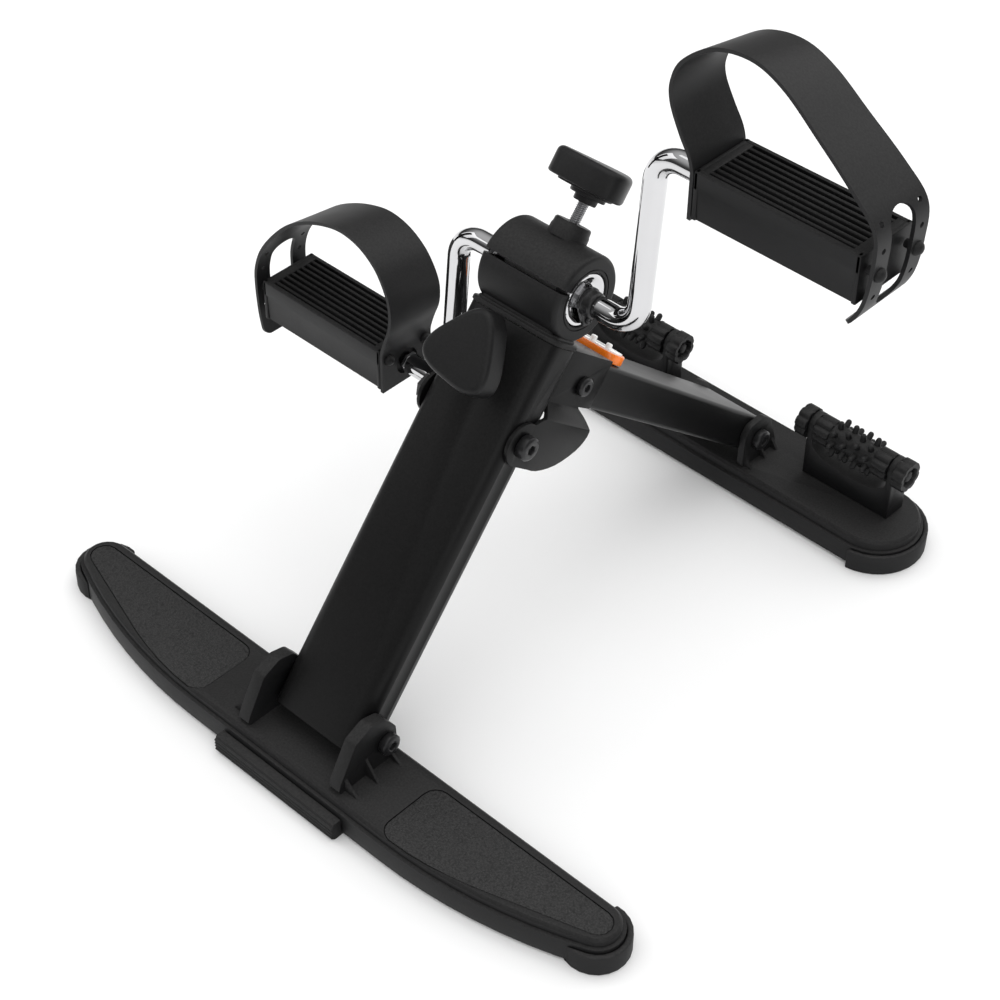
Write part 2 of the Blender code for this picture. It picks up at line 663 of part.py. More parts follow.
def make_rear_foot(body):
    rings = [
        (FOOT_BOTTOM, 0.0),
        (REAR_GROOVE, 0.0),
        (REAR_GROOVE, -PLATEAU_INSET),
        (REAR_TOP - 0.0015, -PLATEAU_INSET),
        (REAR_TOP, -PLATEAU_INSET - 0.0015),
    ]
    solid = loft([[(x, y, height) for x, y in rear_outline(grow)] for height, grow in rings])
    base = piece("rear_base", solid, "black_plastic", WORLD, body)
    cut(base, cells(rear_wall, REAR_CENTRE + REAR_END - 0.006, 0.112, REAR_TOP - 0.0035))

    bolt_y, bolt_z = (POST @ Vector((0.0, REAR_BOLT_Y, REAR_BOLT_Z))).yz
    floor = REAR_TOP - 0.001
    outline = [(0.1465, floor), (0.1475, 0.0420), (0.1520, 0.0480), (0.1650, 0.0485), (0.1710, 0.0430)]
    outline = rounded(outline + [(0.1790, floor)], 0.005)
    for side in (-1, 1):
        join(base, lug(outline, 0.0216, 0.0256, side))
        places = ((0.1500, 0.030), (0.1636, 0.028), (0.1740, 0.028))
        join(base, joined(*[lug_rib(side, y, 0.0256, 0.0310, REAR_TOP, height) for y, height in places]))
    cut(base, cylinder(BOLT_RADIUS + GAP, -0.05, 0.05, "X", (bolt_y, bolt_z)))

    axis = Matrix.Translation((0.0, bolt_y, bolt_z))
    bolt = socket_bolt(BOLT_RADIUS, 0.0062, -0.0320, 0.0259, 0.0305)
    bolt = piece("rear_bolt", bolt, "black_steel", axis, body)
    cut(bolt, hexagon(0.0026, 0.0280, 0.04))
    nut = piece("rear_nut", hexagon(0.0068, -0.0306, -0.0259), "black_steel", axis, body)
    cut(nut, cylinder(BOLT_RADIUS + GAP, -0.04, -0.02))

    for side_name, side in SIDES:
        line = arc((REAR_END_X, REAR_CENTRE), REAR_END + 0.003, -84, 84, 16)
        make_cap(f"rear_cap_{side_name}", mirrored(line, side), rear_outline(GAP), body)
        make_cradle(side_name, side, body)


def make_cradle(side_name, side, body):
    """The block that carries a massage roller, scooped out between two end walls."""
    inner_wall = CRADLE_INNER + CRADLE_WALL
    outer_wall = CRADLE_OUTER - CRADLE_WALL
    middle = (CRADLE_INNER + CRADLE_OUTER) / 2
    scoop = [(outer_wall, 0.0640), (outer_wall, 0.0440)]
    scoop += smooth([(outer_wall - 0.001, 0.0415), (outer_wall - 0.009, 0.0365), (middle, 0.0345)], 3)[:-1]
    scoop += smooth([(middle, 0.0345), (inner_wall + 0.009, 0.0365), (inner_wall + 0.001, 0.0415)], 3)
    scoop += [(inner_wall, 0.0440), (inner_wall, 0.0640)]
    bottom = REAR_TOP + GAP
    outline = [(CRADLE_INNER, bottom), (CRADLE_OUTER, bottom), (CRADLE_OUTER, 0.0640)]
    outline += [tuple(p) for p in scoop] + [(CRADLE_INNER, 0.0640)]
    cradle = prism(mirrored(outline, side), CRADLE_FRONT, CRADLE_BACK, "Y")
    cradle = piece(f"cradle_{side_name}", cradle, "black_plastic", WORLD, body)
    dome = arc((ROLLER_Y + 0.0015, ROLLER_Z), 0.0078, 180, 0, 10)
    dome = [(CRADLE_FRONT, 0.0)] + dome + [(CRADLE_BACK, 0.0)]
    boolean(cradle, prism(dome, -0.15, 0.15, "X"), "INTERSECT")
    cut(cradle, cylinder(AXLE_RADIUS + GAP, -0.15, 0.15, "X", (ROLLER_Y, ROLLER_Z), 16))

    low, high = sorted((side * 0.0470, side * 0.1182))
    axle = cylinder(AXLE_RADIUS, low, high, "X", (ROLLER_Y, ROLLER_Z), 16)
    piece(f"roller_axle_{side_name}", axle, "steel", WORLD, body)


def flutes(radius, low, high, count):
    """Cutter for shallow grooves along a small wheel."""
    places = arc((0.0, 0.0), radius, 0, 360 - 360 / count, count - 1)
    return joined(*[cylinder(0.0014, low, high, "X", place, 6) for place in places])


def make_roller(side_name, side, body):
    """Nubbed roller between the cradle's walls, turning on the axle."""
    axis = Matrix.Translation((0.0, ROLLER_Y, ROLLER_Z))
    start = CRADLE_INNER + CRADLE_WALL + 0.0005
    end = CRADLE_OUTER - CRADLE_WALL - 0.0005
    hub = 0.0090
    profile = [(AXLE_RADIUS + GAP, start), (hub, start), (hub, start + 0.010), (0.0078, start + 0.0105)]
    profile += [(0.0078, end - 0.0105), (hub, end - 0.010), (hub, end), (AXLE_RADIUS + GAP, end)]
    core = turned(mirrored_height(profile, side), "X", steps=16, ring=True)
    roller = piece(f"massage_roller_{side_name}", core, "black_plastic", axis, body)
    nubs = []
    middle = (start + end) / 2
    for column in range(4):
        x = side * (middle + (column - 1.5) * 0.0078)
        for i in range(6):
            angle = math.radians(60 * i + 30 * (column % 2))
            nub = turned([(0.0, 0.006), (0.0017, 0.006), (0.0013, 0.0116), (0.0, 0.0121)], "Z", steps=6)
            bmesh.ops.rotate(nub, verts=nub.verts, matrix=Matrix.Rotation(angle, 3, "X"))
            nubs.append(moved(nub, x=x))
    join(roller, joined(*nubs))
    cut(roller, flutes(0.0097, *sorted((side * (start - 0.001), side * (start + 0.009))), 8))
    cut(roller, flutes(0.0097, *sorted((side * (end + 0.001), side * (end - 0.009))), 8))


def make_wheel(name, low, high, recess, body):
    """Small fluted wheel outside a cradle wall, with a recess at its open end."""
    axis = Matrix.Translation((0.0, ROLLER_Y, ROLLER_Z))
    wheel = piece(name, tube(0.0098, AXLE_RADIUS + GAP, low, high), "black_plastic", axis, body)
    cut(wheel, cylinder(0.0058, *recess, "X"))
    cut(wheel, flutes(0.0104, low - 0.001, high + 0.001, 8))


# Crank and pedals ---------------------------------------------------------------------------------
def crank_path(side):
    """Centreline of a bent crank rod, from the hub to the end of the spindle, with its radii."""
    x = CRANK_OFFSET
    bend = CRANK_BEND
    line = [(HUB_OUTER + GAP, 0.0)]
    line += arc((x - bend, bend), bend, -90, 0, 6)
    line += arc((x + bend, CRANK_THROW - bend), bend, 180, 90, 6)
    line.append((PEDAL_INNER - 0.006, CRANK_THROW))
    radii = [CRANK_ROD] * len(line)
    line += [(PEDAL_INNER - 0.0055, CRANK_THROW), (SPINDLE_END, CRANK_THROW)]
    radii += [SPINDLE_RADIUS] * 2
    return [Vector((side * a, side * b)) for a, b in line], radii


def swept(line, radii, sides=12):
    """A round rod along a line in X and Z."""
    rings = []
    last = len(line) - 1
    for i, point in enumerate(line):
        before = (point - line[max(i - 1, 0)]).normalized()
        after = (line[min(i + 1, last)] - point).normalized()
        along = (before + after).normalized()
        across = Vector((-along.y, along.x))
        ring = []
        for a, b in arc((0.0, 0.0), radii[i], 0, 360 - 360 / sides, sides - 1):
            ring.append((point.x + across.x * a, b, point.y + across.y * a))
        rings.append(ring)
    return loft(rings)


def make_crank(body):
    shaft = cylinder(CRANK_ROD, -SHAFT_END, SHAFT_END, "X")
    piece("crank_shaft", shaft, "steel", CRANK, body)
    piece("brake_drum", tube(BRAKE_DRUM_RADIUS, CRANK_ROD + GAP, -0.017, 0.017), "steel", CRANK, body)
    for side_name, side in SIDES:
        piece(f"crank_{side_name}", swept(*crank_path(side)), "chrome", CRANK, body)
        make_hub(side_name, side, body)


def make_hub(side_name, side, body):
    """Domed cap on the shaft's end, with an ear opposite the crank that takes a small screw."""
    profile = [(0.0, HUB_FLANGE - 0.0005), (0.0072, HUB_FLANGE - 0.0005), (0.0070, HUB_FLANGE + 0.0012)]
    profile += [(0.0066, HUB_OUTER - 0.0014), (0.0056, HUB_OUTER), (0.0, HUB_OUTER)]
    ear = arc((0.0, 0.0), 0.0078, 0, 180, 10) + arc((0.0, -HUB_EAR), 0.0038, 180, 360, 10)
    ear = [(a, side * b) for a, b in ear]
    hub = prism(ear, side * HUB_INNER, side * HUB_FLANGE, "X")
    hub = piece(f"hub_clamp_{side_name}", hub, "black_steel", CRANK, body)
    join(hub, turned(mirrored_height(profile, side)))
    bore = sorted((side * (HUB_INNER - 0.001), side * (SHAFT_END + GAP)))
    cut(hub, cylinder(CRANK_ROD + GAP, *bore))
    at = (0.0, -side * HUB_EAR)
    hole = sorted((side * (HUB_INNER - 0.001), side * (HUB_FLANGE + 0.001)))
    cut(hub, cylinder(0.0017, *hole, "X", at, 12))
    seat = HUB_FLANGE + GAP
    profile = [(0.0, HUB_INNER + GAP), (0.0014, HUB_INNER + GAP), (0.0014, seat), (0.0024, seat)]
    profile += [(0.0020, seat + 0.0010), (0.0, seat + 0.0012)]
    bolt = turned(mirrored_height(profile, side), "X", at, 12)
    piece(f"clamp_bolt_{side_name}", bolt, "black_steel", CRANK, body)


def strap_line(side_name):
    """Centreline of a strap from inner peg to tail, drawn on the right; the left strap stands rounder."""
    start = PEDAL_INNER - 0.0013
    end = PEDAL_OUTER + 0.0060
    points = [(start, 0.0066), (start, 0.0125)]
    if side_name == "right":
        points += [(0.0910, 0.0200), (0.0850, 0.0300), (0.0790, 0.0430), (0.0785, 0.0540), (0.0840, 0.0660)]
        points += [(0.1000, 0.0785), (0.1200, 0.0830), (0.1380, 0.0755), (0.1580, 0.0600), (0.1780, 0.0430)]
        points += [(end - 0.0010, 0.0280), (end, 0.0080), (end - 0.0020, -0.0080)]
        points += [(end - 0.0060, -0.0180), (end - 0.0110, -0.0240)]
    else:
        points += [(0.0905, 0.0220), (0.0865, 0.0340), (0.0860, 0.0470), (0.0890, 0.0580), (0.0960, 0.0695)]
        points += [(0.1070, 0.0775), (0.1200, 0.0805), (0.1330, 0.0785), (0.1480, 0.0725), (0.1625, 0.0630)]
        points += [(0.1760, 0.0490), (0.1865, 0.0340), (end - 0.0008, 0.0200), (end, 0.0080)]
        points += [(end - 0.0010, -0.0080), (end - 0.0025, -0.0170), (end - 0.0045, -0.0250)]
    return smooth(points, 3)


def make_strap(side_name, side, frame, body):
    line = strap_line(side_name)
    offset = STRAP_THICKNESS / 2
    outer = []
    inner = []
    for i, point in enumerate(line):
        along = (line[min(i + 1, len(line) - 1)] - line[max(i - 1, 0)]).normalized()
        across = Vector((along.y, -along.x))
        outer.append(tuple(point + across * offset))
        inner.append(tuple(point - across * offset))
    outline = mirrored(outer + inner[::-1], side)
    strap = prism(outline, -PEDAL_HALF_DEPTH, PEDAL_HALF_DEPTH, "Y")
    strap = piece(f"strap_{side_name}", strap, "rubber", frame, body)
    for y in (-PEG_Y, PEG_Y):
        for x, z in ((PEDAL_INNER, INNER_PEG_Z), (PEDAL_OUTER + 0.006, OUTER_PEG_Z)):
            low, high = sorted((side * (x - 0.005), side * (x + 0.005)))
            cut(strap, cylinder(PEG_RADIUS + GAP, low, high, "X", (y, z), 12))


def stud(root, seat, head):
    """Profile of a headed peg, from its root inside the pedal to its seat against the strap."""
    profile = [(0.0, root), (PEG_RADIUS, root), (PEG_RADIUS, seat), (0.0036, seat)]
    return profile + [(0.0030, seat + head), (0.0, seat + head)]


def make_pedal(side_name, side, frame, body):
    """Slatted pedal: four walls, nine slats along its length and a sleeve for the spindle."""
    low, high = sorted((side * PEDAL_INNER, side * PEDAL_OUTER))
    wall = 0.0028
    half = PEDAL_HALF_DEPTH
    shell = box(low, high, -half, half, PEDAL_BOTTOM, PEDAL_TOP)
    pedal = piece(f"pedal_{side_name}", shell, "black_plastic", frame, body)
    cut(pedal, box(low + wall, high - wall, wall - half, half - wall, PEDAL_BOTTOM - 0.01, PEDAL_TOP - 0.003))
    pitch = (2 * half - wall) / SLATS
    slots = []
    for i in range(1, SLATS):
        y = wall / 2 - half + i * pitch
        slots.append(box(low + 0.006, high - 0.006, y - 0.0010, y + 0.0010, 0.005, PEDAL_TOP + 0.01))
    cut(pedal, joined(*slots))
    join(pedal, cylinder(0.0080, low + 0.001, high - 0.001, "X"))
    bore_low, bore_high = sorted((side * (PEDAL_INNER - 0.01), side * (SPINDLE_END + 0.002)))
    cut(pedal, cylinder(SPINDLE_RADIUS + GAP, bore_low, bore_high, "X"))
    for y in (-PEG_Y, PEG_Y):
        inner_peg = stud(PEDAL_INNER + 0.001, PEDAL_INNER - 0.0031, -0.0017)
        outer_peg = stud(PEDAL_OUTER - 0.001, PEDAL_OUTER + 0.0075, 0.0016)
        for profile, z in ((inner_peg, INNER_PEG_Z), (outer_peg, OUTER_PEG_Z)):
            join(pedal, turned(mirrored_height(profile, side), "X", (y, z), 12))


# Adjusters ----------------------------------------------------------------------------------------
def knob_outline(turn):
    """Three-cornered knob with full round corners, the first of them at this angle in degrees."""
    corners = []
    for i in range(3):
        angle = math.radians(turn + 120 * i)
        corners.append((KNOB_CORNER * math.cos(angle), KNOB_CORNER * math.sin(angle)))
    return rounded(corners, 0.0145, 6)


def make_tension(slide, turn):
    drum = POST @ Matrix.Translation((0.0, 0.0, CRANK_HEIGHT))
    shoe = [(-0.006, 0.0), (0.006, 0.0), (0.006, 0.0170), (0.005, 0.0180)]
    shoe += [(-0.005, 0.0180), (-0.006, 0.0170)]
    shoe = piece("brake_shoe", prism(shoe, -0.011, 0.011, "X"), "rubber", drum, slide)
    cut(shoe, cylinder(BRAKE_DRUM_RADIUS + GAP, -0.02, 0.02, "X", steps=48))

    base = 0.0415
    screw = cylinder(SCREW_RADIUS, 0.0183, base + 0.0080, "Z", steps=16)
    piece("tension_screw", screw, "steel", drum, turn)
    rings = [(base + 0.0065, 0.95), (base + 0.0075, 1.0), (base + 0.0190, 1.0), (base + 0.0210, 0.93)]
    outline = knob_outline(90)
    knob = loft([[(x * scale, y * scale, z) for x, y in outline] for z, scale in rings])
    knob = piece("tension_knob", knob, "black_plastic", drum, turn)
    profile = [(0.0, base), (0.0060, base), (0.0062, base + 0.003), (0.0095, base + 0.003)]
    join(knob, turned(profile + [(0.0095, base + 0.007), (0.0, base + 0.007)], "Z"))
    cut(knob, cylinder(SCREW_RADIUS + GAP, base - 0.01, base + 0.0083, "Z", steps=16))


def make_lock(slide, turn):
    axis = POST @ Matrix.Translation((0.0, 0.0, LOCK_HEIGHT))
    washer = tube(0.0090, SCREW_RADIUS + GAP, -0.0211, -0.0196, "Y")
    piece("lock_washer", washer, "steel", axis, slide)
    screw = cylinder(SCREW_RADIUS, -0.0340, 0.0177, "Y", steps=16)
    piece("lock_screw", screw, "steel", axis, turn)
    rings = [(-0.0415, 0.93), (-0.0395, 1.0), (-0.0280, 1.0), (-0.0268, 0.95)]
    outline = knob_outline(82)
    knob = loft([[(x * scale, y, z * scale) for x, z in outline] for y, scale in rings])
    knob = piece("lock_knob", knob, "black_plastic", axis, turn)
    join(knob, turned([(0.0, -0.0275), (0.0105, -0.0275), (0.0085, -0.0214), (0.0, -0.0214)], "Y"))
    cut(knob, cylinder(SCREW_RADIUS + GAP, -0.0343, -0.01, "Y", steps=16))


# Assembly -----------------------------------------------------------------------------------------
def main():
    clear_scene()
    post = pivot("post_frame", POST)
    make_post(post)
    make_drum(post)
    make_pivot(post)

    front = pivot("front_foot_axis", POST @ Matrix.Translation((0.0, 0.0, FOOT_BOLT_HEIGHT)), post)
    make_front_foot(front)

    arm = pivot("arm_fold_axis", POST @ Matrix.Translation((0.0, 0.0, PIVOT_HEIGHT)), post)
    make_bracket(arm)
    make_arm(arm)
    buttons = {}
    for name, x in (("left", -0.0010), ("right", 0.0095)):
        place = POST @ Matrix.Translation((x, COUNTER_Y - 0.0045, COUNTER_TOP))
        buttons[name] = pivot(f"button_{name}_axis", place, arm)
    make_counter(arm, buttons)

    rear = pivot("rear_foot_axis", POST @ Matrix.Translation((0.0, REAR_BOLT_Y, REAR_BOLT_Z)), arm)
    make_rear_foot(rear)
    for side_name, side in SIDES:
        middle = side * (CRADLE_INNER + CRADLE_OUTER) / 2
        roller = pivot(f"roller_{side_name}_axis", Matrix.Translation((middle, ROLLER_Y, ROLLER_Z)), rear)
        make_roller(side_name, side, roller)
        inner = ("inner", CRADLE_INNER - 0.0004, 0.0448, 0.0474)
        outer = ("outer", CRADLE_OUTER + 0.0004, 0.1204, 0.1178)
        for place, near, far, floor in (inner, outer):
            low, high = sorted((side * near, side * far))
            recess = sorted((side * floor, side * (2 * far - near)))
            axis = Matrix.Translation((low, ROLLER_Y, ROLLER_Z))
            wheel = pivot(f"wheel_{side_name}_{place}_axis", axis, rear)
            make_wheel(f"massage_wheel_{side_name}_{place}", low, high, recess, wheel)

    crank = pivot("crank_axis", CRANK, post)
    make_crank(crank)
    for side_name, side in SIDES:
        frame = pedal_frame(side)
        pedal = pivot(f"pedal_{side_name}_axis", frame, crank)
        make_pedal(side_name, side, frame, pedal)
        make_strap(side_name, side, frame, pedal)

    brake = pivot("brake_slide_axis", POST @ Matrix.Translation((0.0, 0.0, CRANK_HEIGHT)), post)
    make_tension(brake, pivot("tension_turn_axis", brake.matrix_world.copy(), brake))
    lock = pivot("lock_slide_axis", POST @ Matrix.Translation((0.0, 0.0, LOCK_HEIGHT)), post)
    make_lock(lock, pivot("lock_turn_axis", lock.matrix_world.copy(), lock))


if __name__ == "__main__":
    main()
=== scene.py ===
"""Looks of the folding pedal exerciser: fine surfaces, finishes, studio floor, lights and camera.

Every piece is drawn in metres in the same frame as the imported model. The post frame runs X across,
Y along the folding arm and Z up the leaning post.
"""

import json
import math

import bmesh
import bpy
from mathutils import Euler, Matrix, Vector
from mathutils.geometry import delaunay_2d_cdt

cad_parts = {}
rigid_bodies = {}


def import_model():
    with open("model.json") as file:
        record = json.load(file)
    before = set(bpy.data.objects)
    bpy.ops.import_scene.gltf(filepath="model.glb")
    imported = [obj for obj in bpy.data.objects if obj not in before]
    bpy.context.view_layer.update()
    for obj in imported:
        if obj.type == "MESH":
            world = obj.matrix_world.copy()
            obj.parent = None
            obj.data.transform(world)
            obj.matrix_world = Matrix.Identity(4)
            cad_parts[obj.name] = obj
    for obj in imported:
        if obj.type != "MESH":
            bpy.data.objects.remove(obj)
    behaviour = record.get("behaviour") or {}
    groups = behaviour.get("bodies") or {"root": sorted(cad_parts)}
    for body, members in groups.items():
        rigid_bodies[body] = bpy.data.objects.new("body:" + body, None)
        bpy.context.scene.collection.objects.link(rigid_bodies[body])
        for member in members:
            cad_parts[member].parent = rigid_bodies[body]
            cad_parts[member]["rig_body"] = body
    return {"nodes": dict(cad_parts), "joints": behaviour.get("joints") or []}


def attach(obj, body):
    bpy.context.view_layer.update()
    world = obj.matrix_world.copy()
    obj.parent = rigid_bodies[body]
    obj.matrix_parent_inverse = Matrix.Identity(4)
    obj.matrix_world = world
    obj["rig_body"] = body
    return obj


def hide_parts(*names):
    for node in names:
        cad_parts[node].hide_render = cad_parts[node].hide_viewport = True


bl_info = {
    "name": "Pedal exerciser",
    "version": (1, 0, 0),
    "blender": (4, 5, 0),
    "location": "View3D > Sidebar > Exerciser",
    "description": "Builds the fine surfaces and finishes of a folding pedal exerciser",
    "category": "Object",
}

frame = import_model()
JOINTS = {joint["name"]: joint for joint in frame["joints"]}
SIDES = (("left", -1), ("right", 1))


# Frames -------------------------------------------------------------------------------------------
def place_of(joint):
    return Vector(JOINTS[joint]["pos_m"])


def frame_with(origin, x, y, z):
    matrix = Matrix((x, y, z)).transposed().to_4x4()
    matrix.translation = origin
    return matrix


ACROSS = Vector((1.0, 0.0, 0.0))
UP_POST = (place_of("arm_fold") - place_of("front_foot_hinge")).normalized()
ALONG_ARM = UP_POST.cross(ACROSS)
PIVOT_UP_POST = 0.1815
POST = frame_with(place_of("arm_fold") - UP_POST * PIVOT_UP_POST, ACROSS, ALONG_ARM, UP_POST)
DRUM = frame_with(place_of("crank_spin"), ACROSS, ALONG_ARM, UP_POST)
LOCK = frame_with(place_of("lock_knob_turn"), ACROSS, UP_POST, -ALONG_ARM)
THROW = place_of("pedal_right_spin") - place_of("crank_spin")
CRANK = frame_with(place_of("crank_spin"), ACROSS, THROW.normalized().cross(ACROSS), THROW.normalized())
ROLLER = place_of("roller_right_spin")
ROLLER_LINE = Matrix.Translation((0.0, ROLLER.y, ROLLER.z))
TO_X = Matrix(((0, 0, 1, 0), (1, 0, 0, 0), (0, 1, 0, 0), (0, 0, 0, 1)))
WORLD = Matrix.Identity(4)


# Settings -----------------------------------------------------------------------------------------
def length(name, description, default):
    return bpy.props.FloatProperty(
        name=name,
        description=description,
        default=default,
        min=0.0,
        precision=5,
        subtype="DISTANCE",
        unit="LENGTH",
    )


def count(name, description, default):
    return bpy.props.IntProperty(name=name, description=description, default=default, min=3, max=16)


def colour(name, description, default):
    return bpy.props.FloatVectorProperty(
        name=name, description=description, default=default, size=3, min=0.0, max=1.0, subtype="COLOR"
    )


class ExerciserSizes(bpy.types.PropertyGroup):
    edge: length("Edge radius", "Rounding of the moulded and folded edges", 0.0007)
    drum_fillet: length("Drum fillet", "Rounding of the drum's two end rims", 0.0026)
    knob_rim: length("Knob rim", "Rounding of the knobs' rims", 0.0032)
    knob_corner: length("Knob corner", "Distance of a knob's corners from its screw, before rounding", 0.0345)
    rod: length("Crank rod radius", "Radius of the bent chrome rods", 0.0060)
    bend: length("Crank bend radius", "Centreline radius of the rods' bends", 0.0150)
    strap: length("Strap thickness", "Thickness of the foot straps", 0.0020)
    strap_tilt: length("Strap tilt", "Drop of the strap's rear edge at the top of its arch", 0.0070)
    nub: length("Nub radius", "Radius of the massage rollers' nubs", 0.0017)
    slats: count("Pedal slats", "Spaces between the slats and walls of each pedal", 9)
    nubs: count("Nubs", "Nubs round each column of a massage roller", 8)


class ExerciserColours(bpy.types.PropertyGroup):
    paint: colour("Paint", "Powder coat on the post, arm and bracket", (0.0032, 0.0032, 0.0034))
    moulding: colour("Moulding", "Black moulded plastic", (0.0062, 0.0062, 0.0066))
    pad: colour("Pads", "Grained anti-slip pads", (0.0110, 0.0110, 0.0115))
    rubber: colour("Rubber", "Caps, foot strip and straps", (0.0090, 0.0090, 0.0095))
    chrome: colour("Chrome", "Crank rods and drum rings", (0.66, 0.66, 0.67))
    steel: colour("Steel", "Screws, axles and washers", (0.42, 0.42, 0.43))
    black_steel: colour("Black steel", "Bolts, nuts and hubs", (0.012, 0.012, 0.013))
    orange: colour("Orange", "Counter case", (0.88, 0.19, 0.012))
    white: colour("White", "Counter face and buttons", (0.83, 0.83, 0.82))
    screen: colour("Screen", "Counter window", (0.030, 0.036, 0.032))
    floor: colour("Floor", "Studio floor", (0.86, 0.86, 0.86))


def sizes():
    return bpy.context.scene.exerciser_sizes


def colours():
    return bpy.context.scene.exerciser_colours


# Outlines -----------------------------------------------------------------------------------------
def arc(centre, radius, start, end, steps):
    angles = [math.radians(start + (end - start) * i / steps) for i in range(steps + 1)]
    return [(centre[0] + radius * math.cos(a), centre[1] + radius * math.sin(a)) for a in angles]


def rounded_rectangle(half_x, half_y, radius, steps=8):
    points = []
    for x, y, start in ((1, 1, 0), (-1, 1, 90), (-1, -1, 180), (1, -1, 270)):
        points += arc((x * (half_x - radius), y * (half_y - radius)), radius, start, start + 90, steps)
    return points


def rounded(corners, radius, steps=10):
    """A polygon with its corners rounded by quadratic curves."""
    points = []
    for i, corner in enumerate(corners):
        here = Vector(corner)
        before = Vector(corners[i - 1]) - here
        after = Vector(corners[(i + 1) % len(corners)]) - here
        reach = min(radius / math.tan(before.angle(after) / 2), 0.45 * before.length, 0.45 * after.length)
        start = here + before.normalized() * reach
        end = here + after.normalized() * reach
        for step in range(steps + 1):
            t = step / steps
            points.append(tuple(start * (1 - t) ** 2 + here * 2 * t * (1 - t) + end * t**2))
    return points


def smooth_line(points, steps):
    knots = [Vector(p) for p in points]
    knots = [2 * knots[0] - knots[1]] + knots + [2 * knots[-1] - knots[-2]]
    line = []
    for a, b, c, d in zip(knots, knots[1:], knots[2:], knots[3:]):
        for step in range(steps):
            t = step / steps
            bend = (2 * a - 5 * b + 4 * c - d) * t**2 + (3 * b - a - 3 * c + d) * t**3
            line.append(0.5 * (2 * b + (c - a) * t + bend))
    return line + [knots[-2]]


# Meshes -------------------------------------------------------------------------------------------
def loft(rings, capped=True, looped=False):
    """A skin through rings with the same number of points."""
    bm = bmesh.new()
    loops = [[bm.verts.new(point) for point in ring] for ring in rings]
    pairs = list(zip(loops, loops[1:]))
    if looped:
        pairs.append((loops[-1], loops[0]))
    for lower, upper in pairs:
        for i in range(len(lower)):
            j = (i + 1) % len(lower)
            bm.faces.new((lower[i], lower[j], upper[j], upper[i]))
    if capped and not looped:
        bm.faces.new(loops[0])
        bm.faces.new(loops[-1])
    bmesh.ops.recalc_face_normals(bm, faces=bm.faces)
    return bm


def lathe(profile, steps=64, start=0.0, span=360.0):
    """A closed (radius, height) loop turned about Z, all round or through a span of degrees."""
    full = span >= 360.0
    count = steps if full else steps + 1
    rings = []
    for i in range(count):
        angle = math.radians(start + span * i / steps)
        rings.append([(r * math.cos(angle), r * math.sin(angle), z) for r, z in profile])
    return loft(rings, looped=full)


def solid_lathe(profile, steps=48, wave=None):
    """An open profile turned about Z from axis to axis; wave(angle, height) scales the radius."""
    bm = bmesh.new()
    rings = []
    for radius, z in profile:
        if radius < 1e-7:
            rings.append([bm.verts.new((0.0, 0.0, z))])
            continue
        ring = []
        for i in range(steps):
            angle = 2 * math.pi * i / steps
            r = radius * (wave(angle, z) if wave else 1.0)
            ring.append(bm.verts.new((r * math.cos(angle), r * math.sin(angle), z)))
        rings.append(ring)
    for lower, upper in zip(rings, rings[1:]):
        for i in range(steps):
            j = (i + 1) % steps
            corners = [ring[k % len(ring)] for ring, k in ((lower, i), (lower, j), (upper, j), (upper, i))]
            bm.faces.new(list(dict.fromkeys(corners)))
    bmesh.ops.recalc_face_normals(bm, faces=bm.faces)
    return bm


def side_prism(outline, low, high):
    """An outline in Y and Z drawn out along X."""
    return loft([[(x, y, z) for y, z in outline] for x in (low, high)])


def rim_levels(low, high, rim_low, rim_high, steps=6):
    """(height, inset) pairs for a slab whose lower and upper rims are rounded."""
    lower = [(low + rim_low * (1 - math.cos(a)), rim_low * (1 - math.sin(a))) for a in quarter(steps)]
    upper = [(high - rim_high * (1 - math.sin(a)), rim_high * (1 - math.cos(a))) for a in quarter(steps)]
    return lower + upper


def quarter(steps):
    return [math.pi / 2 * i / steps for i in range(steps + 1)]


def slab(outline, low, high, rim_low, rim_high, steps=5):
    """A thick plate with rounded rims; insets follow the outline's own inward normals."""
    inward = inward_normals(outline)
    rings = []
    for height, inset in rim_levels(low, high, rim_low, rim_high, steps):
        rings.append([(x + n.x * inset, y + n.y * inset, height) for (x, y), n in zip(outline, inward)])
    return loft(rings)


def inward_normals(outline):
    """Unit normals into a counter-clockwise outline."""
    count = len(outline)
    normals = []
    for i in range(count):
        along = Vector(outline[(i + 1) % count]) - Vector(outline[i - 1])
        along = along.normalized() if along.length > 1e-9 else Vector((1.0, 0.0))
        normals.append(Vector((-along.y, along.x)))
    return normals


def round_edges(bm, edges, radius, segments):
    bmesh.ops.bevel(
        bm, geom=edges, offset=radius, segments=segments, profile=0.5, affect="EDGES", clamp_overlap=True
    )


def bar(low, high, radius, segments=2):
    """A straight bar between two corners, with rounded edges."""
    bm = bmesh.new()
    bmesh.ops.create_cube(bm, size=1.0)
    low = Vector(low)
    high = Vector(high)
    for vert in bm.verts:
        vert.co = Vector(((vert.co[i] + 0.5) * (high[i] - low[i]) + low[i] for i in range(3)))
    round_edges(bm, list(bm.edges), radius, segments)
    return bm


def rod(points, radii, sides=28):
    """A round rod along points in X and Z."""
    rings = []
    last = len(points) - 1
    for i, point in enumerate(points):
        before = (point - points[max(i - 1, 0)]).normalized()
        after = (points[min(i + 1, last)] - point).normalized()
        along = (before + after).normalized()
        across = Vector((-along.y, along.x))
        ring = []
        for a, b in arc((0.0, 0.0), radii[i], 0, 360 - 360 / sides, sides - 1):
            ring.append((point.x + across.x * a, b, point.y + across.y * a))
        rings.append(ring)
    return loft(rings)


def shifted(bm, matrix):
    bmesh.ops.transform(bm, matrix=matrix, verts=bm.verts)
    if matrix.to_3x3().determinant() < 0:
        bmesh.ops.reverse_faces(bm, faces=bm.faces)
    return bm


